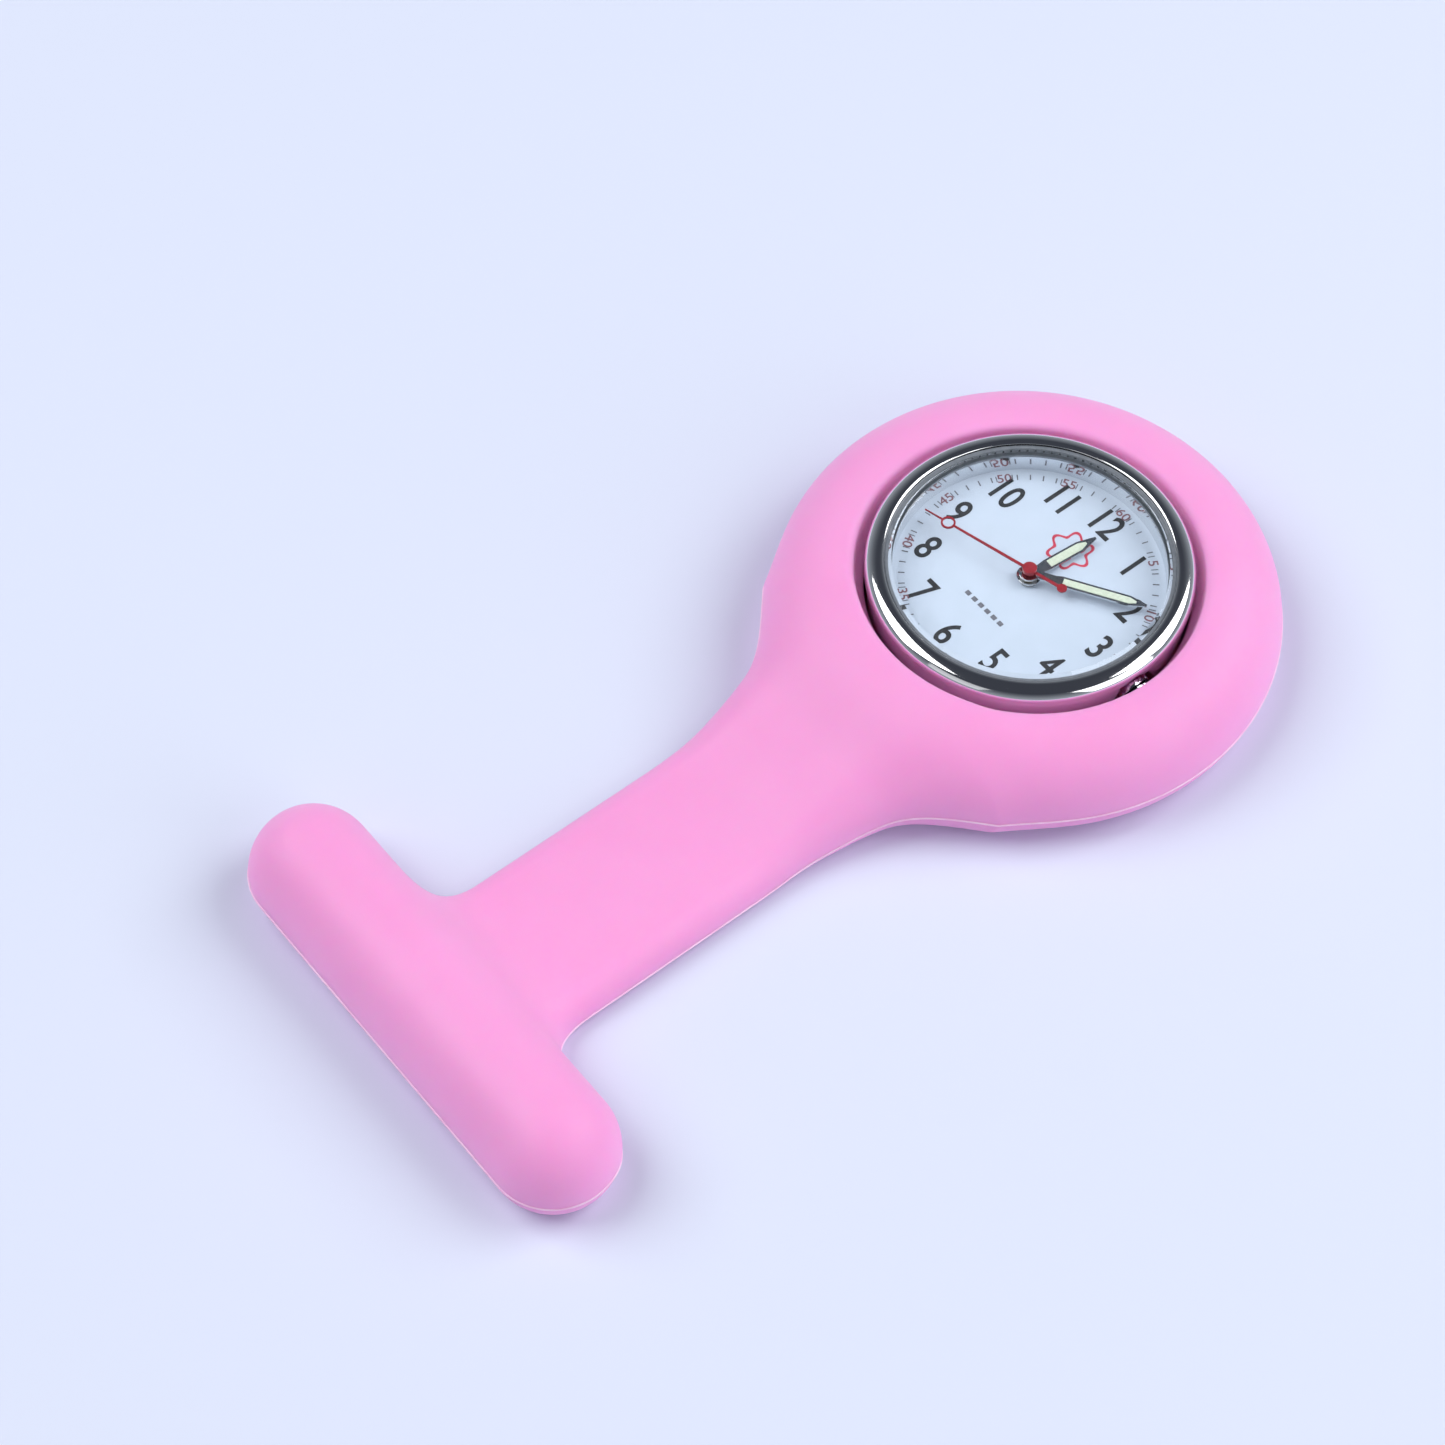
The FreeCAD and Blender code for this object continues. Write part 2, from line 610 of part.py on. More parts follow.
def arbor_wheel(name, steps, gears, x=0, y=0):
    """A turned arbor of (radius, low, high) steps with toothed rims of (label, teeth, module, low, thick)."""
    body = new_body(name)
    path = [(0, steps[0][1])]
    for radius, low, high in steps:
        path += [(radius, low), (radius, high)]
    path.append((0, steps[-1][2]))
    revolve(body, path)
    for label, teeth, module, low, thick in gears:
        add_teeth(body, label, teeth, module, low, thick)
    keep(at_head(body, x, y), name)


def going_train():
    thick = d.wheel_thick
    pivot = d.pivot_radius
    arbor = d.arbor_radius
    leaf = as_size(0.3)
    fourth_root = root_of(d.fourth_leaves, d.fine_module)
    arbor_wheel("fourth_wheel",
                [(pivot, bridge_low, fourth_low), (root_of(d.fourth_teeth, d.seconds_module), fourth_low,
                 fourth_low + thick), (fourth_root, fourth_low + thick, third_low + leaf),
                 (arbor, third_low + leaf, second_hand_low + 2 * d.hand_thick)],
                [("fourth_rim", d.fourth_teeth, d.seconds_module, fourth_low, thick),
                 ("fourth_leaf", d.fourth_leaves, d.fine_module, fourth_low + thick,
                  third_low + leaf - fourth_low - thick)])
    arbor_wheel("third_wheel",
                [(pivot, bridge_low, third_low - leaf), (arbor, third_low - leaf, third_low),
                 (root_of(d.third_teeth, d.fine_module), third_low, third_low + thick),
                 (root_of(d.third_leaves, d.center_module), third_low + thick, center_low + 2 * thick),
                 (pivot, center_low + 2 * thick, plate_low + leaf)],
                [("third_rim", d.third_teeth, d.fine_module, third_low, thick),
                 ("third_leaf", d.third_leaves, d.center_module, third_low + thick,
                  center_low + thick - third_low)], 0, third_y)
    arbor_wheel("fifth_wheel",
                [(pivot, bridge_low, fifth_low), (root_of(d.fifth_teeth, d.fine_module), fifth_low,
                 fifth_low + thick), (root_of(d.fifth_leaves, d.seconds_module), fifth_low + thick,
                 fourth_low + 2 * thick), (arbor, fourth_low + 2 * thick, plate_low),
                 (pivot, plate_low, plate_low + leaf)],
                [("fifth_rim", d.fifth_teeth, d.fine_module, fifth_low, thick),
                 ("fifth_leaf", d.fifth_leaves, d.seconds_module, fifth_low + thick,
                  fourth_low + thick - fifth_low)], fifth_x)
    magnet_low = fourth_low + 0.1
    magnet_high = magnet_low + d.magnet_height
    arbor_wheel("rotor",
                [(pivot, bridge_low, fifth_low - 0.08), (root_of(d.rotor_leaves, d.fine_module),
                 fifth_low - 0.08, fifth_low + 2 * thick), (arbor, fifth_low + 2 * thick, magnet_low),
                 (d.magnet_radius, magnet_low, magnet_high), (arbor, magnet_high, plate_low),
                 (pivot, plate_low, plate_low + leaf)],
                [("rotor_leaf", d.rotor_leaves, d.fine_module, fifth_low - 0.08, 0.08 + 2 * thick)], rotor_x)


def motion_work():
    """Centre wheel on the cannon pinion, the minute wheel on its post, and the hour wheel."""
    thick = d.wheel_thick
    bore = d.arbor_radius + d.running_fit
    tube = as_size(0.4)
    hour_bore = tube + d.running_fit
    cannon_low = works_floor + 0.08
    cannon_high = cannon_low + 0.28
    minute_low = cannon_low + 0.04
    hour_low = minute_low + thick + 0.2
    body = new_body("center_wheel")
    revolve(body, ring_path(tube, root_of(d.center_teeth, d.center_module), center_low, center_low + thick))
    add_teeth(body, "center_rim", d.center_teeth, d.center_module, center_low, thick)
    keep(at_head(body), "center_wheel")

    body = new_body("cannon_pinion")
    revolve(body, ring_path(bore, tube, center_low, minute_hand_low + d.hand_thick))
    add_teeth(body, "cannon_leaf", d.cannon_leaves, d.motion_module, cannon_low, cannon_high - cannon_low)
    keep(at_head(body), "cannon_pinion")

    body = new_body("minute_wheel")
    post = d.stem_neck
    pinion = root_of(d.minute_leaves, d.motion_module)
    revolve(body, [(post, minute_low), (root_of(d.minute_teeth, d.motion_module), minute_low),
                   (root_of(d.minute_teeth, d.motion_module), minute_low + thick),
                   (pinion + 0.05, minute_low + thick), (pinion + 0.05, hour_low + 2 * thick),
                   (post, hour_low + 2 * thick)])
    add_teeth(body, "minute_rim", d.minute_teeth, d.motion_module, minute_low, thick)
    add_teeth(body, "minute_leaf", d.minute_leaves, d.motion_module, minute_low + thick, hour_low + thick
              - minute_low)
    keep(at_head(body, minute_x, minute_y), "minute_wheel")

    body = new_body("hour_wheel")
    tube_out = d.dial_hole - 2 * d.running_fit
    revolve(body, [(hour_bore, hour_low), (root_of(d.hour_teeth, d.motion_module), hour_low),
                   (root_of(d.hour_teeth, d.motion_module), hour_low + thick), (tube_out, hour_low + thick),
                   (tube_out, hour_hand_low + d.hand_thick), (hour_bore, hour_hand_low + d.hand_thick)])
    add_teeth(body, "hour_rim", d.hour_teeth, d.motion_module, hour_low, thick)
    keep(at_head(body), "hour_wheel")

    body = new_body("setting_wheel")
    revolve(body, ring_path(post, root_of(d.setting_teeth, d.motion_module), minute_low, minute_low + thick))
    add_teeth(body, "setting_rim", d.setting_teeth, d.motion_module, minute_low, thick)
    keep(at_head(body, setting_x, setting_y), "setting_wheel")

    turned("dial_washer", ring_path(tube_out + d.running_fit, tube_out + 0.7, dial_low - 0.12,
                                    dial_low - 0.04), 0, head_y)


# ---------------------------------------------------------------- movement frame and electrics

pillars = ((-3.35, 4.05), (3.75, -1.25))


def main_plate():
    """Main plate with the dial-side recess, stem channel, pivot holes, posts and bridge pillars."""
    disc = at_head(rod("plate_disc", d.movement_radius, d.plate_thick, (0, 0, 0)), 0, 0, plate_low)
    cuts = [at_head(rod("works_room", d.works_radius, d.works_depth + 1, (0, 0, 0)), d.works_offset, 0,
                    works_floor)]
    stem_gap = d.stem_radius + d.running_fit
    below = stem_height - 1.0
    lever_floor = stem_height + d.stem_radius
    channel = box("stem_channel", (0, 0, 0), (d.movement_radius - d.stem_tip + 1.3, 2 * stem_gap, 2))
    cuts.append(at_head(channel, d.stem_tip - 0.3, -stem_gap, below))
    clutch_gap = d.clutch_radius + 2 * d.running_fit
    clutch_room = box("clutch_room", (0, 0, 0), (d.neck_end - d.stem_tip, 2 * clutch_gap, 2))
    cuts.append(at_head(clutch_room, d.stem_tip - 0.1, -clutch_gap, below))
    lever_room = box("lever_room", (0, 0, 0), (4.2, 3.4, 2))
    cuts.append(at_head(lever_room, d.neck_end - 0.9, -0.9, lever_floor))
    cuts.append(at_head(rod("centre_hole", 0.55, 3, (0, 0, 0)), 0, 0, plate_low - 1))
    for x, y in ((fifth_x, 0), (rotor_x, 0), (0, third_y)):
        hole = rod("pivot_hole", d.pivot_radius + d.running_fit, 0.4, (0, 0, 0))
        cuts.append(at_head(hole, x, y, plate_low - 0.01))
    for sign in (-1, 1):
        hole = rod("foot_hole", d.foot_radius + d.running_fit, d.foot_length + 1.1, (0, 0, 0))
        cuts.append(at_head(hole, sign * d.foot_spread * cosine(45), -sign * d.foot_spread * sine(45),
                            dial_low - d.foot_length - 0.1))
    battery_room = rod("battery_room", d.battery_radius + 0.1, 0.3, (0, 0, 0))
    cuts.append(at_head(battery_room, 0, battery_y, plate_low - 0.1))
    pieces = [without("plate_cut", disc, cuts)]
    post_radius = d.stem_neck - d.running_fit
    for x, y in ((minute_x, minute_y), (setting_x, setting_y)):
        pieces.append(at_head(rod("wheel_post", post_radius, d.works_depth - 0.15, (0, 0, 0)), x, y,
                              works_floor))
    for x, y in pillars:
        pillar = rod("pillar", d.pillar_radius, plate_low - bridge_high, (0, 0, 0))
        pieces.append(at_head(pillar, x, y, bridge_high))
    holes = []
    for x, y in pillars:
        holes.append(at_head(rod("thread_hole", 0.2, 1.2, (0, 0, 0)), x, y, bridge_high - 0.1))
    keep(without("main_plate", joined("plate_posts", pieces), holes), "main_plate")


def train_bridge():
    """Bridge under the wheels, with pivot holes, and its two screws."""
    low_x = rotor_x - 0.9
    high_x = pillars[1][0] + 0.75
    block = box("bridge_blank", (0, 0, 0), (high_x - low_x, 6.6, d.bridge_thick))
    at_head(block, low_x, -1.95, bridge_low)
    holes = []
    for x, y in ((0, 0), (fifth_x, 0), (rotor_x, 0), (0, third_y)):
        hole = rod("bridge_pivot", d.pivot_radius + d.running_fit, 1, (0, 0, 0))
        holes.append(at_head(hole, x, y, bridge_low - 0.3))
    for x, y in pillars:
        holes.append(at_head(rod("screw_hole", 0.2, 1, (0, 0, 0)), x, y, bridge_low - 0.3))
    keep(without("train_bridge", block, holes), "train_bridge")
    screws = []
    for x, y in pillars:
        head = at_head(rod("screw_head", 0.42, 0.2, (0, 0, 0)), x, y, bridge_low - 0.2)
        slot = at_head(box("screw_slot", (0, 0, 0), (1, 0.14, 0.1)), x - 0.5, y - 0.07, bridge_low - 0.2)
        shank = at_head(rod("screw_shank", 0.2, 1.2, (0, 0, 0)), x, y, bridge_low)
        screws.append(joined("screw", [without("slotted", head, [slot]), shank]))
    group = doc.addObject("Part::Compound", "bridge_screws")
    group.Links = screws
    keep(group, "bridge_screws")


def motor():
    """Stator with the rotor hole, coil core lying under it, and the coil."""
    stator_low = fourth_low + 0.1
    stator_half = as_size(3.6)
    plate = box("stator_blank", (0, 0, 0), (2.1, 2 * stator_half, d.magnet_height))
    at_head(plate, rotor_x - 1.05, -stator_half, stator_low)
    hole = at_head(rod("rotor_hole", d.magnet_radius + d.air_gap, 1, (0, 0, 0)), rotor_x, 0, stator_low - 0.2)
    keep(without("stator", plate, [hole]), "stator")
    core_x = rotor_x - 2.45
    core_low = stator_low - 0.4
    bar = at_head(box("core_bar", (0, 0, 0), (0.8, 2 * stator_half, 0.4)), core_x - 0.4, -stator_half, core_low)
    tabs = []
    for start in (-stator_half, stator_half - 0.8):
        tabs.append(at_head(box("core_tab", (0, 0, 0), (2.6, 0.8, 0.4)), core_x - 0.1, start, core_low))
    keep(joined("coil_core", [bar] + tabs), "coil_core")
    winding = rod("winding", d.coil_radius, d.coil_length, (0, 0, 0), "y")
    at_head(winding, core_x, -d.coil_length / 2, core_low + 0.2)
    hole = at_head(box("core_hole", (0, 0, 0), (0.8, 10, 0.4)), core_x - 0.4, -5, core_low)
    keep(without("coil", winding, [hole]), "coil")


def electrics():
    board_low = plate_low - 0.3
    board = at_head(box("circuit_board", (0, 0, 0), (3.6, 3.2, 0.3)), 3.4, 1.35, board_low)
    keep(board, "circuit_board")
    keep(at_head(box("chip", (0, 0, 0), (1.5, 1.5, 0.5)), 3.7, 1.8, board_low - 0.5), "chip")
    can = rod("quartz_can", 0.5, 3.4, (0, 0, 0), "y")
    keep(at_head(can, 6.2, 1.5, board_low - 0.5), "quartz_can")
    battery_high = plate_low + 0.14
    battery_low = battery_high - d.battery_height
    insulator = rod("battery_insulator", d.battery_radius, 0.06, (0, 0, 0))
    keep(at_head(insulator, 0, battery_y, battery_high), "battery_insulator")
    keep(at_head(rod("battery", d.battery_radius, d.battery_height, (0, 0, 0)), 0, battery_y, battery_low),
         "battery")
    clamp = box("battery_clamp", (0, 0, 0), (1.4, 4.6, 0.15))
    keep(at_head(clamp, -0.7, battery_y - 2.3, battery_low - 0.15), "battery_clamp")


def movement_ring():
    """Plastic ring that centres the movement in the case, with a way through for the stem."""
    body = new_body("movement_ring")
    revolve(body, ring_path(d.movement_radius + d.small_fit, case_bore - d.small_fit, d.ring_bottom,
                            dial_low))
    way = sketch_on(body, "YZ_Plane", "stem_way", d.movement_radius - 1)
    add_circle(way, d.tube_radius + 4 * d.running_fit, 0, stem_height)
    cut_down(body, way, case_bore - d.movement_radius + 2, upward=True)
    keep(at_head(body), "movement_ring")


# ---------------------------------------------------------------- crown, stem and setting work

def along_stem(thing, name):
    """Lays a part turned about Z along +X at stem height."""
    thing.Placement.Rotation = FreeCAD.Rotation(Vector(0, 1, 0), 90)
    return keep(at_head(thing, 0, 0, stem_height), name)


def crown_and_stem():
    face = d.case_radius + d.crown_gap
    outer = face + d.crown_length
    tube_end = d.case_radius + d.tube_reach
    cavity = tube_end + 0.35
    body = new_body("crown")
    revolve(body, [(d.tube_radius + 2 * d.running_fit, face), (d.crown_radius - 0.15, face),
                   (d.crown_radius - 0.1, outer - 0.2), (d.crown_radius - 0.35, outer), (0, outer),
                   (0, outer - 0.2), (d.stem_radius, outer - 0.2), (d.stem_radius, cavity),
                   (d.tube_radius + 2 * d.running_fit, cavity)])
    rib = sketch_on(body, "XY_Plane", "crown_rib", face + 0.1)
    inner = d.crown_radius - 0.3
    outline(rib, [(inner, -0.14), (d.crown_radius, -0.08), (d.crown_radius, 0.08), (inner, 0.14)])
    polar_teeth(body, pad(body, rib, d.crown_length - 0.4), d.crown_ribs)
    along_stem(body, "crown")

    body = new_body("crown_gasket")
    revolve(body, ring_path(d.stem_radius + 0.01, d.tube_radius + d.running_fit, tube_end + 0.05,
                            cavity - 0.01))
    along_stem(body, "crown_gasket")

    body = new_body("crown_tube")
    revolve(body, ring_path(d.stem_radius + d.running_fit, d.tube_radius, case_bore - 0.2, tube_end))
    along_stem(body, "crown_tube")

    body = new_body("stem")
    groove_low = d.groove_place - d.groove_width / 2
    groove_high = d.groove_place + d.groove_width / 2
    revolve(body, [(0, d.stem_tip), (d.stem_neck, d.stem_tip), (d.stem_neck, d.neck_end),
                   (d.stem_radius, d.neck_end), (d.stem_radius, groove_low), (d.groove_radius, groove_low),
                   (d.groove_radius, groove_high), (d.stem_radius, groove_high),
                   (d.stem_radius, outer - 0.2), (0, outer - 0.2)])
    along_stem(body, "stem")

    body = new_body("clutch_wheel")
    low = d.clutch_place - d.clutch_length / 2
    high = d.clutch_place + d.clutch_length / 2
    slot = d.groove_width / 2
    revolve(body, [(d.stem_neck + 0.03, low), (d.clutch_radius, low), (d.clutch_radius, d.clutch_place - slot),
                   (clutch_waist, d.clutch_place - slot), (clutch_waist, d.clutch_place + slot),
                   (d.clutch_radius, d.clutch_place + slot), (d.clutch_radius, high),
                   (d.stem_neck + 0.03, high)])
    along_stem(body, "clutch_wheel")


def link(name, pivot_x, pivot_y, swing, low, pin_low):
    """A flat lever from its pivot along local +X, with a pin at its end that reaches down to the stem."""
    reach = d.lever_arm
    half = d.link_width / 2
    body = new_body(name)
    arm = sketch_on(body, "XY_Plane", name + "_arm")
    outline(arm, [(0, -half), (reach, -half), (reach, half), (0, half)])
    pad(body, arm, d.link_thick)
    for label, along in (("_eye", 0), ("_tip", reach)):
        disc = sketch_on(body, "XY_Plane", name + label)
        add_circle(disc, half, along, 0)
        pad(body, disc, d.link_thick)
    pin = sketch_on(body, "XY_Plane", name + "_pin", pin_low - low)
    add_circle(pin, d.link_pin, reach, 0)
    pad(body, pin, low - pin_low)
    turn(body, (0, 0, 1), swing)
    keep(at_head(body, pivot_x, pivot_y, low), name)


def arc_sine(size):
    return Size(math.degrees(math.asin(size.value)), f"(asin({size.text}) * 1 / 1 deg)")


def setting_levers():
    """Setting lever in the stem groove and yoke in the clutch groove, both swinging as the crown pulls."""
    low = stem_height + d.stem_radius + 0.12
    lever_half = arc_sine(d.crown_travel / 2 / d.lever_arm)
    link("setting_lever", d.groove_place + d.crown_travel / 2, d.lever_arm, as_size(270) - lever_half,
         low, stem_height + d.groove_radius + d.running_fit)
    yoke_half = arc_sine(d.clutch_travel / 2 / d.lever_arm)
    link("yoke", d.clutch_place - d.clutch_travel / 2, -d.lever_arm, as_size(90) - yoke_half, low,
         stem_height + clutch_waist + d.running_fit)


# ---------------------------------------------------------------- assembly and export

def build():
    silicone_bar()
    silicone_strap()
    silicone_pocket()
    brooch()
    case_body()
    case_rings()
    dial()
    hour_tube = d.dial_hole - 2 * d.running_fit
    hour_size = (d.hour_hand_length, d.hour_hand_width)
    minute_size = (minute_hand_length, d.minute_hand_width)
    baton("hour_hand", *hour_size, hour_tube + 0.3, hour_tube, hour_hand_low, hour_angle)
    lume("hour_lume", *hour_size, hour_hand_low, hour_angle)
    baton("minute_hand", *minute_size, as_size(0.85), as_size(0.4), minute_hand_low, minute_angle)
    lume("minute_lume", *minute_size, minute_hand_low, minute_angle)
    second_hand()
    going_train()
    motion_work()
    main_plate()
    train_bridge()
    motor()
    electrics()
    movement_ring()
    crown_and_stem()
    setting_levers()
    doc.recompute()


def check_and_export():
    for item in doc.Objects:
        if "Invalid" in item.State or "Error" in item.State:
            raise RuntimeError(f"{item.Label} did not compute: {item.State}")
    for part in sub_parts:
        if part.Shape.isNull() or not part.Shape.isValid() or not part.Shape.Solids:
            raise RuntimeError(f"{part.Label} has no valid shape")
    os.makedirs("parts", exist_ok=True)
    for part in sub_parts:
        part.Shape.exportStep(f"parts/{part.Label}.step")
    print(f"{len(sub_parts)} sub-parts written")


build()
check_and_export()
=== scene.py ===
"""Silicone fob watch: one pink moulding with a T-bar, strap and round pocket, and a chromed watch in it."""
import json

import bmesh
import bpy
import numpy as np
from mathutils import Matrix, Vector


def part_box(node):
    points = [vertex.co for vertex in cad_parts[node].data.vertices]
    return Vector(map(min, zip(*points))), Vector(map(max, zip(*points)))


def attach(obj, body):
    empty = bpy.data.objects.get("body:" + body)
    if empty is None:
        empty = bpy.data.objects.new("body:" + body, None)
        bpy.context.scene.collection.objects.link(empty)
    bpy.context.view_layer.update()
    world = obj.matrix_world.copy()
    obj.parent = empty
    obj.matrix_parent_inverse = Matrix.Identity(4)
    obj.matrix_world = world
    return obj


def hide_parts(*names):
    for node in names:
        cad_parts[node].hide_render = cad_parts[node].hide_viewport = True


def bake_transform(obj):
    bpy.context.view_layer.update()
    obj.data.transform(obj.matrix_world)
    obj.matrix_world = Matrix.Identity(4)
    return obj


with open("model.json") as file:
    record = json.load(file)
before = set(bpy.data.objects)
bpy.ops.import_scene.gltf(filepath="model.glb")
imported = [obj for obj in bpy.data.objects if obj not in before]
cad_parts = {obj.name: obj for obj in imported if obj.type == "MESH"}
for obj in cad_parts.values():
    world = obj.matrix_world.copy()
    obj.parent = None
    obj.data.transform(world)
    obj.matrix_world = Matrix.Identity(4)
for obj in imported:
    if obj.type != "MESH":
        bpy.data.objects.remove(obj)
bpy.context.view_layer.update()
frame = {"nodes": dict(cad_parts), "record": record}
nodes = frame["nodes"]
MM = 0.001

# ------------------------------------------------------------ silicone holder
# The holder is one compression moulding in soft silicone: a bar that hides the pin, a thin strap,
# and a thick rolled pocket that grips the watch case. It is worked out in millimetres as a solid
# whose parts melt into each other, and then meshed.

bar_low, bar_high = (np.array(corner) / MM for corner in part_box("silicone_bar"))
pocket_high = np.array(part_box("silicone_pocket")[1]) / MM
strap_low, strap_high = (np.array(corner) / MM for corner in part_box("silicone_strap"))
case_low, case_high = (np.array(corner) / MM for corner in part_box("case_body"))
crown_low, crown_high = (np.array(corner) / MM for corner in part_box("crown"))
bar_y = (bar_low[1] + bar_high[1]) / 2
bar_half = bar_high[0]
bar_round = (bar_high[1] - bar_low[1]) / 2
pocket_round = pocket_high[0]
head_y = pocket_high[1] - pocket_round
strap_half = strap_high[0]
bar_parting, strap_parting, pocket_parting = 3.0, 0.9, 3.1
bar_belly = 1.43
bar_melt, pocket_melt = 4.6, 3.4
flare = 22.0
neck_start = strap_high[1]
neck_lift = 4.2
strap_sink, strap_camber = 0.35, 0.3
lip_round, thumb_round = 14.5, 9.0
case_fit = case_high[0] + 0.15
pin_half_long, pin_half_wide, pin_deep = 17.5, 3.0, 3.2
lip_edge, sharp_edge = 0.7, 0.5


def melt(a, b, width):
    """Smooth union: the smaller of two distances, eased where they differ by less than width."""
    ease = np.maximum(width - np.abs(a - b), 0) / width
    return np.minimum(a, b) - ease * ease * width / 4


def carve(a, b, width):
    """Takes b away from a, with the edge rounded over width."""
    return -melt(-a, b, width)


def step(value, start, end):
    """Rises smoothly from 0 at start to 1 at end."""
    share = np.clip((value - start) / (end - start), 0, 1)
    return share * share * (3 - 2 * share)


def egg(across, height, wide, tall):
    """Distance to an ellipse of half-width wide and half-height tall, from its centre, in millimetres."""
    near = np.sqrt((across / wide) ** 2 + (height / tall) ** 2) + 1e-9
    slope = np.sqrt((across / wide**2) ** 2 + (height / tall**2) ** 2) + 1e-9
    return near * (near - 1) / slope


def rounded(across, height, corner):
    """Distance to a rounded corner whose arc is centred on the origin, filling towards minus."""
    outside = np.hypot(np.maximum(across, 0), np.maximum(height, 0))
    return outside + np.minimum(np.maximum(across, height), 0) - corner


def climb_at(y):
    """Share of the climb from the strap, 0, to the pocket, 1."""
    return step(y, neck_start - 3.0, neck_start + 15.0)


def parting_height(y):
    """Height of the mould's parting line, lowest along the thin strap and higher at bar and pocket."""
    at_bar = 1 - step(y, bar_y + 1.0, bar_y + 8.0)
    bar_rise, pocket_rise = bar_parting - strap_parting, pocket_parting - strap_parting
    return strap_parting + bar_rise * at_bar + pocket_rise * climb_at(y)


def bar_solid(x, y, z):
    """A pill in plan: a fat domed top above the parting line and a shallower, flat-cut underside."""
    reach = np.hypot(np.maximum(np.abs(x) - (bar_half - bar_round), 0), y - bar_y)
    up = z - bar_parting
    top = egg(reach, up, bar_round, bar_high[2] - bar_parting)
    under = egg(reach, up, bar_round, bar_parting * bar_belly)
    return np.where(up > 0, top, under)


def strap_solid(x, y, z):
    """A band with soft edges that widens along a circular flare and climbs towards the pocket. Its edge
    is a quarter ellipse above the parting line and a smaller one below it."""
    along = np.clip(y - neck_start, 0, 0.72 * flare)
    bend = np.sqrt(flare**2 - along**2)
    half = strap_half + flare - bend
    climb = climb_at(y)
    part = strap_parting + (pocket_parting - strap_parting) * climb
    rise = strap_high[2] - strap_sink + neck_lift * climb - part
    rise += strap_camber * (1 - np.clip(x / half, -1, 1) ** 2)
    tangent = 0.85 * step(y, neck_start + 4.0, neck_start + 15.0)
    side = (np.abs(x) - half + tangent) * bend / flare
    soft = 2.2 + 2.6 * climb
    upper = rounded(side + soft, (z - part) * soft / rise, soft)
    tuck = 0.6 + 2.5 * climb
    lower = rounded(side + tuck, (part - z) * tuck / (part - 0.2 * (1 - climb)), tuck)
    ends = np.maximum(bar_y - y, y - head_y + lip_round)
    return np.maximum(np.where(z > part, upper, lower), ends)


def pocket_solid(x, y, z):
    """A thick disc with a large roll on its upper edge and a smaller one underneath."""
    reach = np.hypot(x, y - head_y)
    roll = pocket_high[2] - pocket_parting
    upper = rounded(reach - pocket_round + roll, z - pocket_parting, roll)
    lower = rounded(reach - pocket_round + pocket_parting, pocket_parting - z, pocket_parting)
    return np.where(z > pocket_parting, upper, lower)


def watch_room(x, y, z):
    """The bore that grips the case: straight below, opening out to the lip, with a hole for the thumb."""
    reach = np.hypot(x, y - head_y)
    bore = case_fit + (lip_round - case_fit) * step(z, pocket_high[2] - 2.9, pocket_high[2] - 0.7)
    room = np.maximum(reach - bore, case_low[2] - z)
    thumb = np.maximum(reach - thumb_round, z - case_low[2] - 1)
    wide = crown_high[2] - crown_low[2]
    crown_at = (crown_low[2] + crown_high[2]) / 2
    crown = np.hypot(y - head_y, z - crown_at) - wide / 2 - 0.45
    crown = np.maximum(crown, np.maximum(case_high[0] - 1 - x, x - crown_high[0] - 2.3))
    return np.minimum(np.minimum(room, thumb), crown)


def pin_room(x, y, z):
    """The recess under the bar that the brooch plate is moulded into."""
    sides = np.maximum(np.abs(x) - pin_half_long, np.abs(y - bar_y) - pin_half_wide)
    return np.maximum(sides, z - pin_deep)


def holder(x, y, z):
    """Distance in millimetres from the holder's surface, negative inside the silicone."""
    body = melt(strap_solid(x, y, z), bar_solid(x, y, z), bar_melt)
    body = melt(body, pocket_solid(x, y, z), pocket_melt)
    body = carve(body, watch_room(x, y, z), lip_edge)
    body = carve(body, pin_room(x, y, z), sharp_edge)
    return carve(body, z, sharp_edge)


def slope_of(solid, points, span=0.02):
    """Direction of steepest rise of a distance at each point, by central differences."""
    parts = []
    for axis in range(3):
        shift = np.zeros(3)
        shift[axis] = span
        ahead, behind = points + shift, points - shift
        parts.append((solid(*ahead.T) - solid(*behind.T)) / (2 * span))
    return np.stack(parts, axis=1)


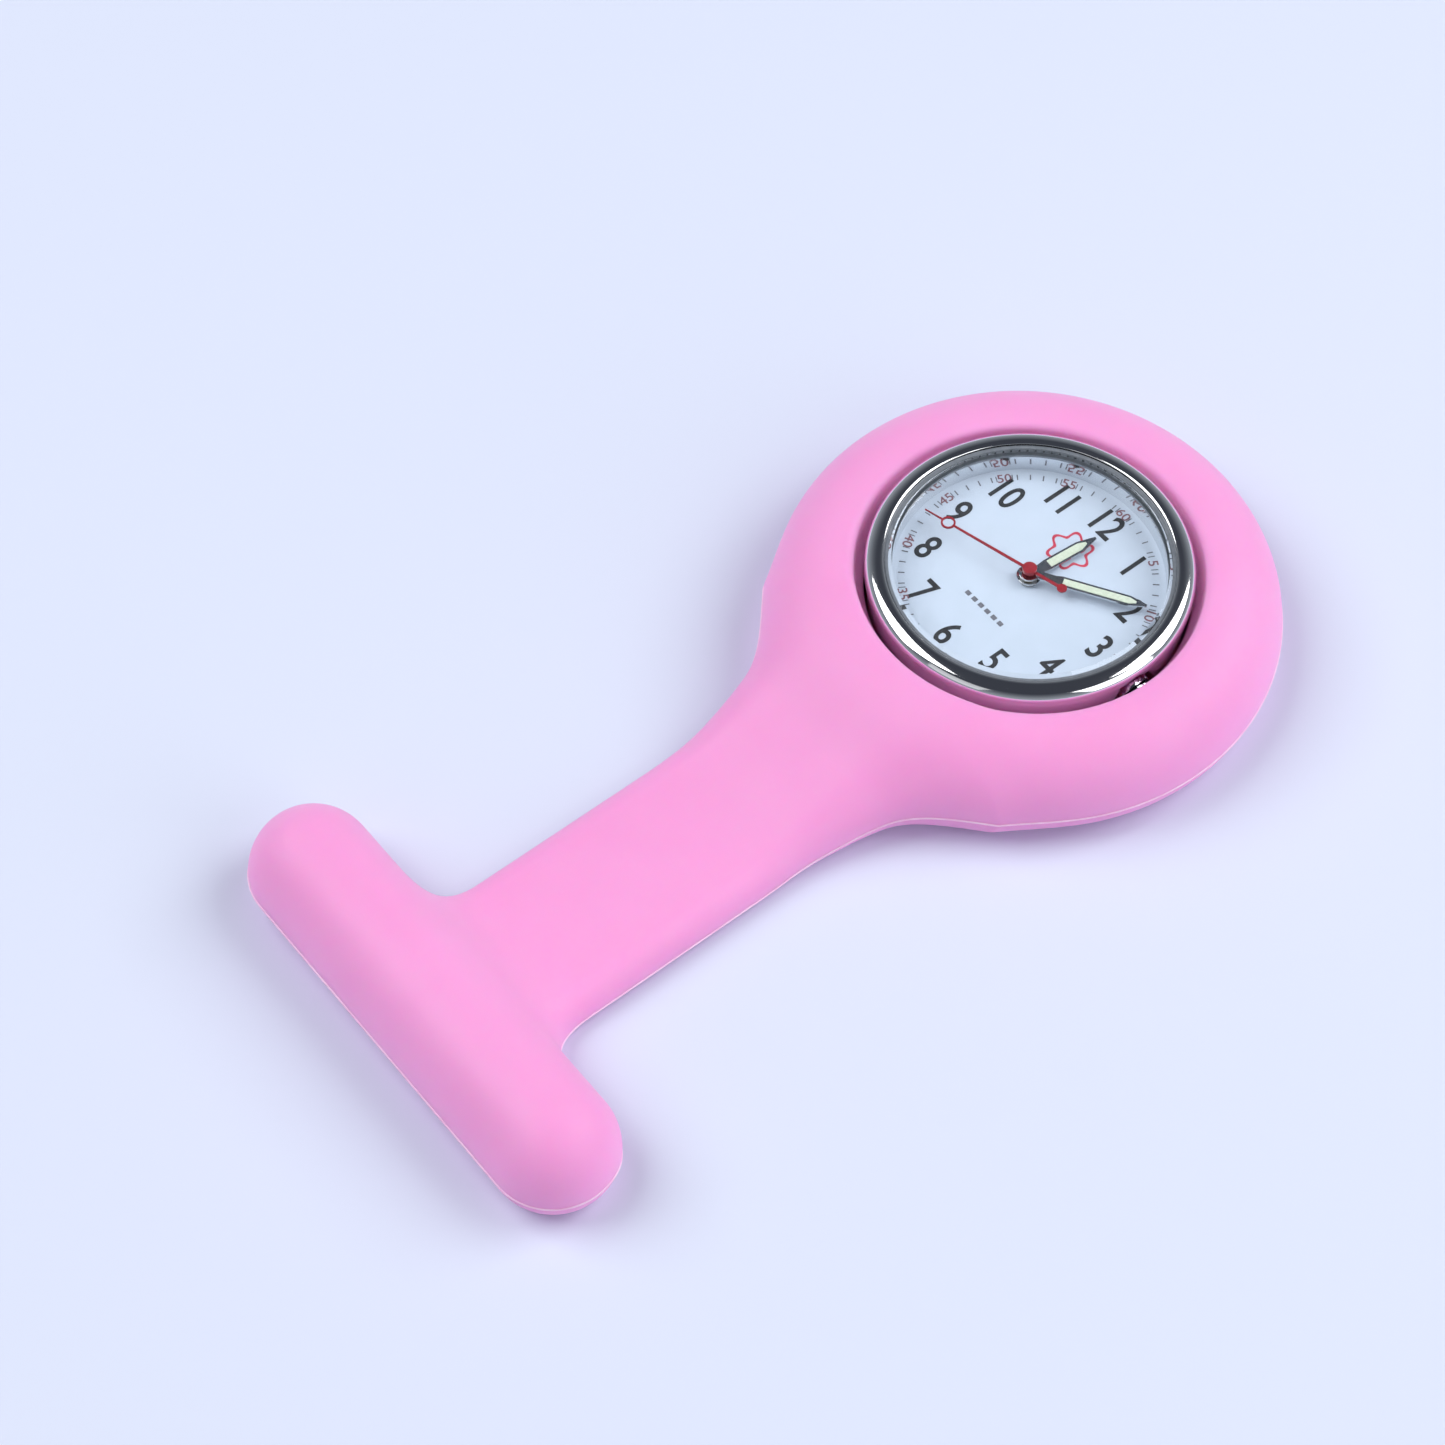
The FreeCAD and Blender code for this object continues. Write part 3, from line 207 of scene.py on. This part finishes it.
def skin_of(solid, low, high, cell):
    """Meshes the zero surface of a distance: one vertex in each grid cell that the surface crosses, at
    the mean of the crossings on its edges, and one quad round each grid edge that it cuts."""
    axes = [np.arange(a, b + cell, cell) for a, b in zip(low, high)]
    grid = np.meshgrid(*axes, indexing="ij")
    value = solid(*grid)
    inside = value < 0
    shape = np.array(value.shape) - 1
    total = np.zeros((*shape, 3))
    count = np.zeros(shape)
    for axis in range(3):
        others = [other for other in range(3) if other != axis]
        first = [slice(None)] * 3
        second = [slice(None)] * 3
        first[axis], second[axis] = slice(0, -1), slice(1, None)
        a, b = value[tuple(first)], value[tuple(second)]
        cut = (a < 0) != (b < 0)
        share = np.where(cut, a / np.where(cut, a - b, 1), 0)
        for near in (0, 1):
            for far in (0, 1):
                window = [slice(None)] * 3
                window[others[0]] = slice(near, near + shape[others[0]])
                window[others[1]] = slice(far, far + shape[others[1]])
                here = cut[tuple(window)]
                spot = [0.0, 0.0, 0.0]
                spot[axis] = share[tuple(window)]
                spot[others[0]] = float(near)
                spot[others[1]] = float(far)
                count += here
                for index in range(3):
                    total[..., index] += np.where(here, spot[index], 0)
    used = count > 0
    corner = np.stack(np.nonzero(used), axis=1)
    points = np.array([axis[0] for axis in axes]) + cell * (corner + total[used] / count[used][:, None])
    number = np.full(shape, -1)
    number[used] = np.arange(len(corner))
    faces = []
    for axis in range(3):
        u, v = (axis + 1) % 3, (axis + 2) % 3
        middle = [slice(1, -1)] * 3
        middle[axis] = slice(0, -1)
        ahead = list(middle)
        ahead[axis] = slice(1, None)
        start, stop = inside[tuple(middle)], inside[tuple(ahead)]
        place = np.stack(np.nonzero(start != stop), axis=1)
        outward = start[start != stop]
        place[:, u] += 1
        place[:, v] += 1
        ring = []
        for back_u, back_v in ((1, 1), (0, 1), (0, 0), (1, 0)):
            cell_at = place.copy()
            cell_at[:, u] -= back_u
            cell_at[:, v] -= back_v
            ring.append(number[tuple(cell_at.T)])
        quad = np.stack(ring, axis=1)
        quad[~outward] = quad[~outward][:, ::-1]
        faces.append(quad)
    faces = np.concatenate(faces)
    for _ in range(4):
        slope = slope_of(solid, points)
        points -= slope * (solid(*points.T) / np.maximum((slope**2).sum(axis=1), 0.2))[:, None]
    return points, faces


def surface(name, points, faces, smooth=True):
    """A mesh object from points in millimetres and faces as rows of point numbers."""
    mesh = bpy.data.meshes.new(name)
    mesh.from_pydata((np.asarray(points) * MM).tolist(), [], [list(map(int, face)) for face in faces])
    mesh.polygons.foreach_set("use_smooth", [smooth] * len(mesh.polygons))
    mesh.validate()
    piece = bpy.data.objects.new(name, mesh)
    bpy.context.scene.collection.objects.link(piece)
    return piece


def finish_with(name, colour, roughness, metallic=0.0):
    """A new material with one Principled shader, and its nodes and links to add to."""
    material = bpy.data.materials.new(name)
    material.use_nodes = True
    tree = material.node_tree
    shader = tree.nodes["Principled BSDF"]
    shader.inputs["Base Color"].default_value = (*colour, 1)
    shader.inputs["Roughness"].default_value = roughness
    shader.inputs["Metallic"].default_value = metallic
    return material, tree, shader


def grain(tree, scale, detail=3.0):
    """Noise on object coordinates, in metres: scale is how many lumps there are in a metre."""
    place = tree.nodes.new("ShaderNodeTexCoord")
    noise = tree.nodes.new("ShaderNodeTexNoise")
    noise.inputs["Scale"].default_value = scale
    noise.inputs["Detail"].default_value = detail
    tree.links.new(place.outputs["Object"], noise.inputs["Vector"])
    return noise.outputs["Fac"]


def two_tone(tree, shader, factor, first, second, low=0.35, high=0.65):
    """Mixes the base colour between two tones by a factor."""
    ramp = tree.nodes.new("ShaderNodeValToRGB")
    ramp.color_ramp.elements[0].position = low
    ramp.color_ramp.elements[0].color = (*first, 1)
    ramp.color_ramp.elements[1].position = high
    ramp.color_ramp.elements[1].color = (*second, 1)
    tree.links.new(factor, ramp.inputs["Fac"])
    tree.links.new(ramp.outputs["Color"], shader.inputs["Base Color"])


def uneven(tree, shader, factor, low, high):
    """Lets the roughness wander between two values."""
    span = tree.nodes.new("ShaderNodeMapRange")
    span.inputs["To Min"].default_value = low
    span.inputs["To Max"].default_value = high
    tree.links.new(factor, span.inputs["Value"])
    tree.links.new(span.outputs["Result"], shader.inputs["Roughness"])


def relief(tree, shader, factor, strength, depth):
    """Fine bumps from a factor, depth in metres."""
    bump = tree.nodes.new("ShaderNodeBump")
    bump.inputs["Strength"].default_value = strength
    bump.inputs["Distance"].default_value = depth
    tree.links.new(factor, bump.inputs["Height"])
    tree.links.new(bump.outputs["Normal"], shader.inputs["Normal"])


silicone, tree, shader = finish_with("pink_silicone", (0.92, 0.36, 0.70), 0.5)
two_tone(tree, shader, grain(tree, 90), (0.91, 0.35, 0.69), (0.93, 0.37, 0.715))
uneven(tree, shader, grain(tree, 700), 0.46, 0.56)
relief(tree, shader, grain(tree, 9000, 2.0), 0.12, 0.00005)
shader.inputs["Subsurface Weight"].default_value = 0.5
shader.inputs["Subsurface Radius"].default_value = (1.0, 0.35, 0.7)
shader.inputs["Subsurface Scale"].default_value = 0.002
shader.inputs["Specular IOR Level"].default_value = 0.35
shader.inputs["Sheen Weight"].default_value = 0.12
shader.inputs["Sheen Roughness"].default_value = 0.5

margin = 0.7
low_corner = np.array([-pocket_round - margin, bar_low[1] - margin, -margin])
high_corner = np.array([pocket_round + margin, pocket_high[1] + margin, pocket_high[2] + margin])
skin_cell = 0.32
skin_points, skin_faces = skin_of(holder, low_corner, high_corner, skin_cell)
skin = surface("silicone_holder", skin_points, skin_faces)
skin.data.materials.append(silicone)
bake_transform(skin)
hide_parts("silicone_bar", "silicone_strap", "silicone_pocket")

# ------------------------------------------------------------ mould parting line
# A hair of flash runs round the holder where the two mould halves met. It is a tiny ridge
# carried along the outline of the solid at the parting height.

cut_level, root = 1.6, 0.05


def flash_ring(wide, proud):
    """Cuts the skin mesh level, moves its outer loop to the parting height and wraps a ridge round it."""
    work = bmesh.new()
    work.from_mesh(skin.data)
    cut = bmesh.ops.bisect_plane(work, geom=work.verts[:] + work.edges[:] + work.faces[:], dist=1e-7,
                                 plane_co=(0, 0, cut_level * MM), plane_no=(0, 0, 1))["geom_cut"]
    edges = [item for item in cut if isinstance(item, bmesh.types.BMEdge)]
    links = {}
    for edge in edges:
        a, b = edge.verts
        links.setdefault(a, []).append(b)
        links.setdefault(b, []).append(a)
    start = max(links, key=lambda vertex: vertex.co.y)
    loop, before, here = [start], None, start
    while True:
        ahead = [vertex for vertex in links[here] if vertex is not before]
        if not ahead or ahead[0] is start:
            break
        before, here = here, ahead[0]
        loop.append(here)
    path = np.array([vertex.co for vertex in loop]) / MM
    work.free()
    path[:, 2] = parting_height(path[:, 1])
    for _ in range(6):
        slope = slope_of(holder, path)
        slope[:, 2] = 0
        path -= slope * (holder(*path.T) / np.maximum((slope**2).sum(axis=1), 0.2))[:, None]
    slope = slope_of(holder, path)
    slope[:, 2] = 0
    out = slope / np.linalg.norm(slope, axis=1, keepdims=True)
    up = np.array([0, 0, 1.0])
    rows = [path - out * root + up * wide, path + out * proud + up * wide * 0.25,
            path + out * proud - up * wide * 0.25, path - out * root - up * wide]
    count = len(path)
    points = np.concatenate(rows)
    ring = np.arange(count)
    after = (ring + 1) % count
    faces = [np.stack([ring + row * count, after + row * count, after + (row + 1) % 4 * count,
                       ring + (row + 1) % 4 * count], axis=1) for row in range(4)]
    return points, np.concatenate(faces)


flash_points, flash_faces = flash_ring(0.12, 0.09)
flash = surface("parting_line", flash_points, flash_faces)
# The flash is the holder's own silicone, coloured a lighter pink here as a painted highlight: it stands in
# for the light that the ridge catches.
thin_silicone, tree, shader = finish_with("thin_silicone", (1.0, 0.62, 0.86), 0.4)
two_tone(tree, shader, grain(tree, 600), (0.98, 0.56, 0.82), (1.0, 0.70, 0.90))
flash.data.materials.append(thin_silicone)
fixer = bmesh.new()
fixer.from_mesh(flash.data)
bmesh.ops.recalc_face_normals(fixer, faces=fixer.faces)
fixer.to_mesh(flash.data)
fixer.free()
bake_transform(flash)

# ------------------------------------------------------------ metals, plastics and rubber
# Chromed case parts, brushed brooch steel, brass wheels, nylon wheels and spacers, and black
# seals. The CAD pieces inside the case keep their shapes and get these finishes.


def polished(name, colour, roughness):
    """Bright metal with faint wipe marks in its shine."""
    material, tree, shader = finish_with(name, colour, roughness, 1.0)
    uneven(tree, shader, grain(tree, 2500), roughness * 0.7, roughness * 1.5)
    return material


def brushed(name, colour, roughness, along=(1, 60, 60)):
    """Metal with fine straight scratches along one axis."""
    material, tree, shader = finish_with(name, colour, roughness, 1.0)
    place = tree.nodes.new("ShaderNodeTexCoord")
    stretch = tree.nodes.new("ShaderNodeMapping")
    stretch.inputs["Scale"].default_value = along
    noise = tree.nodes.new("ShaderNodeTexNoise")
    noise.inputs["Scale"].default_value = 300
    tree.links.new(place.outputs["Object"], stretch.inputs["Vector"])
    tree.links.new(stretch.outputs["Vector"], noise.inputs["Vector"])
    uneven(tree, shader, noise.outputs["Fac"], roughness * 0.7, roughness * 1.4)
    relief(tree, shader, noise.outputs["Fac"], 0.15, 0.00002)
    return material


def moulded(name, colour, shade, roughness):
    """Injected plastic or rubber: two close tones and a faint grain."""
    material, tree, shader = finish_with(name, colour, roughness)
    two_tone(tree, shader, grain(tree, 1500), shade, colour)
    relief(tree, shader, grain(tree, 12000, 2.0), 0.1, 0.00002)
    return material


chrome = polished("chrome_plate", (0.80, 0.81, 0.83), 0.07)
steel = brushed("brushed_steel", (0.62, 0.63, 0.65), 0.3)
bright_steel = polished("bright_steel", (0.74, 0.75, 0.77), 0.12)
brass = brushed("train_brass", (0.78, 0.58, 0.25), 0.28, (60, 60, 1))
copper = brushed("coil_copper", (0.66, 0.30, 0.13), 0.35, (60, 1, 60))
nylon = moulded("white_nylon", (0.83, 0.84, 0.82), (0.76, 0.78, 0.77), 0.45)
black_plastic = moulded("black_plastic", (0.03, 0.03, 0.033), (0.02, 0.02, 0.022), 0.5)
seal_rubber = moulded("seal_rubber", (0.02, 0.02, 0.02), (0.012, 0.012, 0.013), 0.6)
board_green = moulded("board_green", (0.02, 0.20, 0.09), (0.015, 0.15, 0.07), 0.4)

finish_of = {
    "chrome": chrome, "steel": steel, "brass": brass, "copper": copper, "nylon": nylon,
    "plastic": black_plastic, "seal": seal_rubber, "board": board_green,
}
for part in frame["record"]["subparts"]:
    if part["material_slot"] in finish_of:
        for coat in nodes[part["node"]].material_slots:
            coat.material = finish_of[part["material_slot"]]


def repaint(node, material):
    """Gives a CAD piece a finish of its own."""
    for coat in nodes[node].material_slots:
        coat.material = material


clear_nylon = moulded("clear_nylon", (0.20, 0.22, 0.25), (0.16, 0.18, 0.21), 0.35)
repaint("crystal_gasket", clear_nylon)
for node in ("brooch_needle", "brooch_rivet", "stem"):
    repaint(node, bright_steel)

# ------------------------------------------------------------ bezel
# The bezel is a pressed and chromed ring. Its crown is gently domed, with a sharp inner edge over
# the crystal and a rolled outer edge; it is turned from one profile.


def lathe(name, profile, centre, turns=256):
    """Turns a closed profile of (radius, height) points about a vertical axis at centre."""
    profile = np.asarray(profile, float)
    angle = np.linspace(0, 2 * np.pi, turns, endpoint=False)
    radius, height = profile[:, 0][None, :], profile[:, 1][None, :]
    x = centre[0] + radius * np.cos(angle)[:, None]
    y = centre[1] + radius * np.sin(angle)[:, None]
    points = np.stack([x, y, np.broadcast_to(height, x.shape)], axis=2).reshape(-1, 3)
    count = len(profile)
    turn_at, along = np.meshgrid(np.arange(turns), np.arange(count), indexing="ij")
    after, beyond = (turn_at + 1) % turns, (along + 1) % count
    faces = np.stack([turn_at * count + along, after * count + along,
                      after * count + beyond, turn_at * count + beyond], axis=2).reshape(-1, 4)
    piece = surface(name, points, faces)
    tidy = bmesh.new()
    tidy.from_mesh(piece.data)
    bmesh.ops.remove_doubles(tidy, verts=tidy.verts, dist=1e-7)
    bmesh.ops.recalc_face_normals(tidy, faces=tidy.faces)
    for edge in tidy.edges:
        if len(edge.link_faces) == 2 and edge.calc_face_angle() > 0.6:
            edge.smooth = False
    tidy.to_mesh(piece.data)
    tidy.free()
    return piece


head = (0.0, head_y)
bezel_low, bezel_high = (np.array(corner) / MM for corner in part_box("bezel"))
crystal_low, crystal_high = (np.array(corner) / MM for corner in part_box("crystal"))
gasket_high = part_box("crystal_gasket")[1][0] / MM
bezel_out, bezel_in = bezel_high[0], gasket_high
bezel_foot, bezel_top = bezel_low[2], bezel_high[2]
bezel_profile = [(bezel_in, bezel_foot), (bezel_out - 0.12, bezel_foot), (bezel_out, bezel_foot + 0.12)]
bezel_profile += [(bezel_in + 0.5 + (bezel_out - bezel_in - 0.5) * np.cos(a), bezel_top - 1.0 + np.sin(a))
                  for a in np.radians(np.linspace(0, 90, 15))]
bezel_profile += [(bezel_in + 0.5 - 0.4 * np.sin(a), bezel_top - 0.14 + 0.14 * np.cos(a))
                  for a in np.radians(np.linspace(20, 90, 6))]
bezel_profile += [(bezel_in, bezel_top - 0.3)]
bezel = lathe("bezel_ring", bezel_profile, head)
bezel.data.materials.append(chrome)
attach(bezel, "watch")
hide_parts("bezel")

# ------------------------------------------------------------ crystal
# A flat mineral crystal with a ground bevel at its rim, pressed into a thin nylon gasket.


def clear_glass():
    """Smooth glass that lets lamplight through to the dial."""
    material, tree, shader = finish_with("mineral_glass", (0.97, 0.985, 1.0), 0.0)
    shader.inputs["Transmission Weight"].default_value = 1.0
    shader.inputs["IOR"].default_value = 1.5
    through = tree.nodes.new("ShaderNodeBsdfTransparent")
    through.inputs["Color"].default_value = (0.95, 0.97, 0.98, 1)
    mix = tree.nodes.new("ShaderNodeMixShader")
    rays = tree.nodes.new("ShaderNodeLightPath")
    tree.links.new(rays.outputs["Is Shadow Ray"], mix.inputs["Fac"])
    tree.links.new(shader.outputs["BSDF"], mix.inputs[1])
    tree.links.new(through.outputs["BSDF"], mix.inputs[2])
    tree.links.new(mix.outputs["Shader"], tree.nodes["Material Output"].inputs["Surface"])
    return material


glass = clear_glass()
rim = crystal_high[0]
glass_foot, glass_top = crystal_low[2], crystal_high[2]
crystal = lathe("crystal_glass", [(0.0, glass_foot), (rim - 0.05, glass_foot), (rim, glass_foot + 0.05),
                                  (rim, glass_top - 0.28), (rim - 0.3, glass_top), (0.0, glass_top)], head)
crystal.data.materials.append(glass)
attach(crystal, "watch")
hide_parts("crystal")

# ------------------------------------------------------------ dial and its printing
# A thin brass dial with a silvery white lacquer, pad-printed with black hour figures, a fine minute
# track, small dark red minute figures, a plain rosette and a row of dashes.

dial_top = np.array(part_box("dial")[1])[2] / MM
ink_height = dial_top + 0.012
figure_ring = 8.84
track_ring = 10.55

lacquer, tree, shader = finish_with("dial_lacquer", (0.455, 0.515, 0.61), 0.42)
two_tone(tree, shader, grain(tree, 500), (0.45, 0.51, 0.60), (0.465, 0.525, 0.62))
relief(tree, shader, grain(tree, 20000, 2.0), 0.06, 0.00001)
repaint("dial", lacquer)


def ink(name, colour, shade):
    """Printing ink: nearly flat, a little thinner in places."""
    material, tree, shader = finish_with(name, colour, 0.45)
    two_tone(tree, shader, grain(tree, 4000), colour, shade, 0.3, 0.8)
    return material


black_ink = ink("black_ink", (0.012, 0.013, 0.016), (0.03, 0.03, 0.034))
grey_ink = ink("grey_ink", (0.09, 0.09, 0.11), (0.16, 0.16, 0.19))
maroon_ink = ink("maroon_ink", (0.15, 0.06, 0.08), (0.25, 0.12, 0.14))
red_ink = ink("red_ink", (0.42, 0.02, 0.05), (0.52, 0.06, 0.10))


def figures(text, tall, narrow, weight):
    """Flat mesh of a number, tall millimetres high and centred on the origin. Its outline is moved
    outwards by weight millimetres, along the mitre of the two edges at each corner."""
    curve = bpy.data.curves.new("figure_" + text, "FONT")
    curve.body = text
    curve.size = 1.0
    curve.resolution_u = 6
    source = bpy.data.objects.new("figure_" + text, curve)
    bpy.context.scene.collection.objects.link(source)
    bpy.context.view_layer.update()
    mesh = bpy.data.meshes.new_from_object(source)
    points = np.array([vertex.co for vertex in mesh.vertices])
    faces = [list(polygon.vertices) for polygon in mesh.polygons]
    bpy.data.objects.remove(source)
    bpy.data.meshes.remove(mesh)
    low, high = points.min(axis=0), points.max(axis=0)
    points = (points - (low + high) / 2) * (tall - 2 * weight) / (high[1] - low[1])
    points[:, 0] *= narrow
    sides = {(face[place - 1], face[place]) for face in faces for place in range(len(face))}
    normals = {}
    for a, b in sides:
        if (b, a) not in sides:
            run = points[b] - points[a]
            normal = np.array([run[1], -run[0]]) / np.hypot(run[0], run[1])
            normals.setdefault(a, []).append(normal)
            normals.setdefault(b, []).append(normal)
    for corner, pair in normals.items():
        both = np.sum(pair, axis=0)
        points[corner, :2] += weight * both / max(both @ both / 2, 0.6)
    return points, faces


def print_on_dial(name, stamps, material):
    """Joins (points, faces, x, y, turn in degrees) stamps into one printed piece on the dial."""
    all_points, all_faces, base = [], [], 0
    for points, faces, x, y, turn in stamps:
        c, s = np.cos(np.radians(turn)), np.sin(np.radians(turn))
        flat = np.asarray(points, float)
        spun = np.stack([flat[:, 0] * c - flat[:, 1] * s + x, flat[:, 0] * s + flat[:, 1] * c + y + head_y,
                         np.full(len(flat), ink_height)], axis=1)
        all_points.append(spun)
        all_faces += [[index + base for index in face] for face in faces]
        base += len(flat)
    piece = surface(name, np.concatenate(all_points), all_faces, False)
    piece.data.materials.append(material)
    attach(piece, "watch")


def on_ring(radius, minutes):
    """Place on the dial at a number of minutes past twelve."""
    angle = np.radians(6 * minutes)
    return radius * np.sin(angle), radius * np.cos(angle)


def bar_mark(wide, tall):
    """A small printed rectangle centred on the origin."""
    a, b = wide / 2, tall / 2
    return [(-a, -b, 0), (a, -b, 0), (a, b, 0), (-a, b, 0)], [[0, 1, 2, 3]]


hour_tall, hour_narrow, hour_weight = 2.7, 0.76, 0.05
hours = []
for hour in range(1, 13):
    points, faces = figures(str(hour), hour_tall, hour_narrow, hour_weight)
    hours.append((points, faces, *on_ring(figure_ring, 5 * hour), 0.0))
print_on_dial("hour_figures", hours, black_ink)

beside_figure = 0.62
ticks = [(*bar_mark(0.11, 0.55), *on_ring(track_ring, minute), -6.0 * minute)
         for minute in range(60) if minute % 5]
ticks += [(*bar_mark(0.09, 0.6), *on_ring(track_ring, minute + side), -6.0 * (minute + side))
          for minute in range(0, 60, 5) for side in (-beside_figure, beside_figure)]
print_on_dial("minute_track", ticks, grey_ink)

minute_tall, minute_narrow, minute_weight = 0.86, 1.1, 0.015
small = []
for minute in range(5, 65, 5):
    points, faces = figures(str(minute), minute_tall, minute_narrow, minute_weight)
    upside_down = 180.0 if 15 < minute < 45 else 0.0
    small.append((points, faces, *on_ring(track_ring, minute), upside_down - 6.0 * minute))
print_on_dial("minute_figures", small, maroon_ink)


def rosette(radius, lobes, swell, line):
    """A closed line of even width whose radius swells once for each lobe."""
    count = 180
    angle = np.linspace(0, 2 * np.pi, count, endpoint=False)
    middle = radius * (1 + swell * np.cos(lobes * angle))
    points = np.concatenate([np.stack([(middle + side) * np.cos(angle), (middle + side) * np.sin(angle),
                                       0 * angle], axis=1) for side in (-line / 2, line / 2)])
    ring = np.arange(count)
    after = (ring + 1) % count
    return points, np.stack([ring, ring + count, after + count, after], axis=1).tolist()


rosette_y, dash_y, dash_pitch = 4.6, -4.85, 0.8
print_on_dial("rosette", [(*rosette(1.65, 6, 0.17, 0.28), 0.0, rosette_y, 0.0)], red_ink)
dashes = [(*bar_mark(0.5, 0.42), dash_pitch * (place - 2.5), dash_y, 0.0) for place in range(6)]
print_on_dial("dial_dashes", dashes, grey_ink)

# ------------------------------------------------------------ hands
# Stamped and polished steel batons with pale luminous paint, and a thin red seconds hand with an
# open ring near its tip.

red_lacquer, tree, shader = finish_with("red_lacquer", (0.24, 0.01, 0.02), 0.35)
two_tone(tree, shader, grain(tree, 3000), (0.22, 0.008, 0.015), (0.27, 0.014, 0.024))
repaint("second_hand", red_lacquer)
luminous, tree, shader = finish_with("luminous_paint", (0.50, 0.55, 0.44), 0.7)
two_tone(tree, shader, grain(tree, 4000), (0.47, 0.52, 0.41), (0.54, 0.59, 0.48))
repaint("hour_lume", luminous)
repaint("minute_lume", luminous)
repaint("hour_hand", bright_steel)
repaint("minute_hand", bright_steel)

# ------------------------------------------------------------ table, light and camera
# A pale blue-white sheet of paper, one large soft light from the left and one from behind, two weak
# fills and a lens of medium length.

floor_half = 1.2
floor_mesh = bpy.data.meshes.new("table_top")
floor_mesh.from_pydata([(-floor_half, -floor_half, 0), (floor_half, -floor_half, 0),
                        (floor_half, floor_half, 0), (-floor_half, floor_half, 0)], [], [[0, 1, 2, 3]])
table = bpy.data.objects.new("table_top", floor_mesh)
bpy.context.scene.collection.objects.link(table)
paper, tree, shader = finish_with("pale_paper", (0.70, 0.75, 0.91), 0.7)
floor_mesh.materials.append(paper)

world = bpy.data.worlds.new("soft_room")
world.use_nodes = True
sky = world.node_tree
direction = sky.nodes.new("ShaderNodeTexCoord")
parts = sky.nodes.new("ShaderNodeSeparateXYZ")
height = sky.nodes.new("ShaderNodeValToRGB")
sky.links.new(direction.outputs["Generated"], parts.inputs["Vector"])
sky.links.new(parts.outputs["Z"], height.inputs["Fac"])
sky.links.new(height.outputs["Color"], sky.nodes["Background"].inputs["Color"])
stops = height.color_ramp.elements
stops[0].position, stops[0].color = 0.02, (0.36, 0.39, 0.43, 1)
stops[1].position, stops[1].color = 0.80, (0.05, 0.055, 0.07, 1)
bpy.context.scene.world = world


def soft_light(name, place, wide, power):
    """A square area light aimed at the watch."""
    lamp = bpy.data.lights.new(name, "AREA")
    lamp.size = wide
    lamp.energy = power
    lamp_object = bpy.data.objects.new(name, lamp)
    lamp_object.location = place
    lamp_object.rotation_euler = Vector(place).to_track_quat("Z", "Y").to_euler()
    bpy.context.scene.collection.objects.link(lamp_object)


soft_light("window", (-0.50, -0.39, 0.78), 0.7, 6.8)
soft_light("second_window", (0.26, 0.56, 0.62), 0.55, 4.3)
soft_light("near_fill", (0.72, 0.22, 0.40), 0.6, 2.3)
soft_light("front_fill", (0.10, -0.75, 0.45), 0.5, 0.4)

view_turn, view_rise, view_reach = np.radians(51.46), np.radians(56.15), 0.3135
back = Vector((np.sin(view_turn) * np.cos(view_rise), -np.cos(view_turn) * np.cos(view_rise),
               np.sin(view_rise)))
aim = Vector((-0.00824, head_y * MM - 0.02585, 0))
lens = bpy.data.cameras.new("camera")
lens.lens = 94.15
lens.sensor_width = 36
lens.clip_start = 0.01
camera = bpy.data.objects.new("camera", lens)
camera.location = aim + back * view_reach
camera.rotation_euler = back.to_track_quat("Z", "Y").to_euler()
bpy.context.scene.collection.objects.link(camera)
bpy.context.scene.camera = camera
bpy.context.scene.view_settings.view_transform = "Standard"
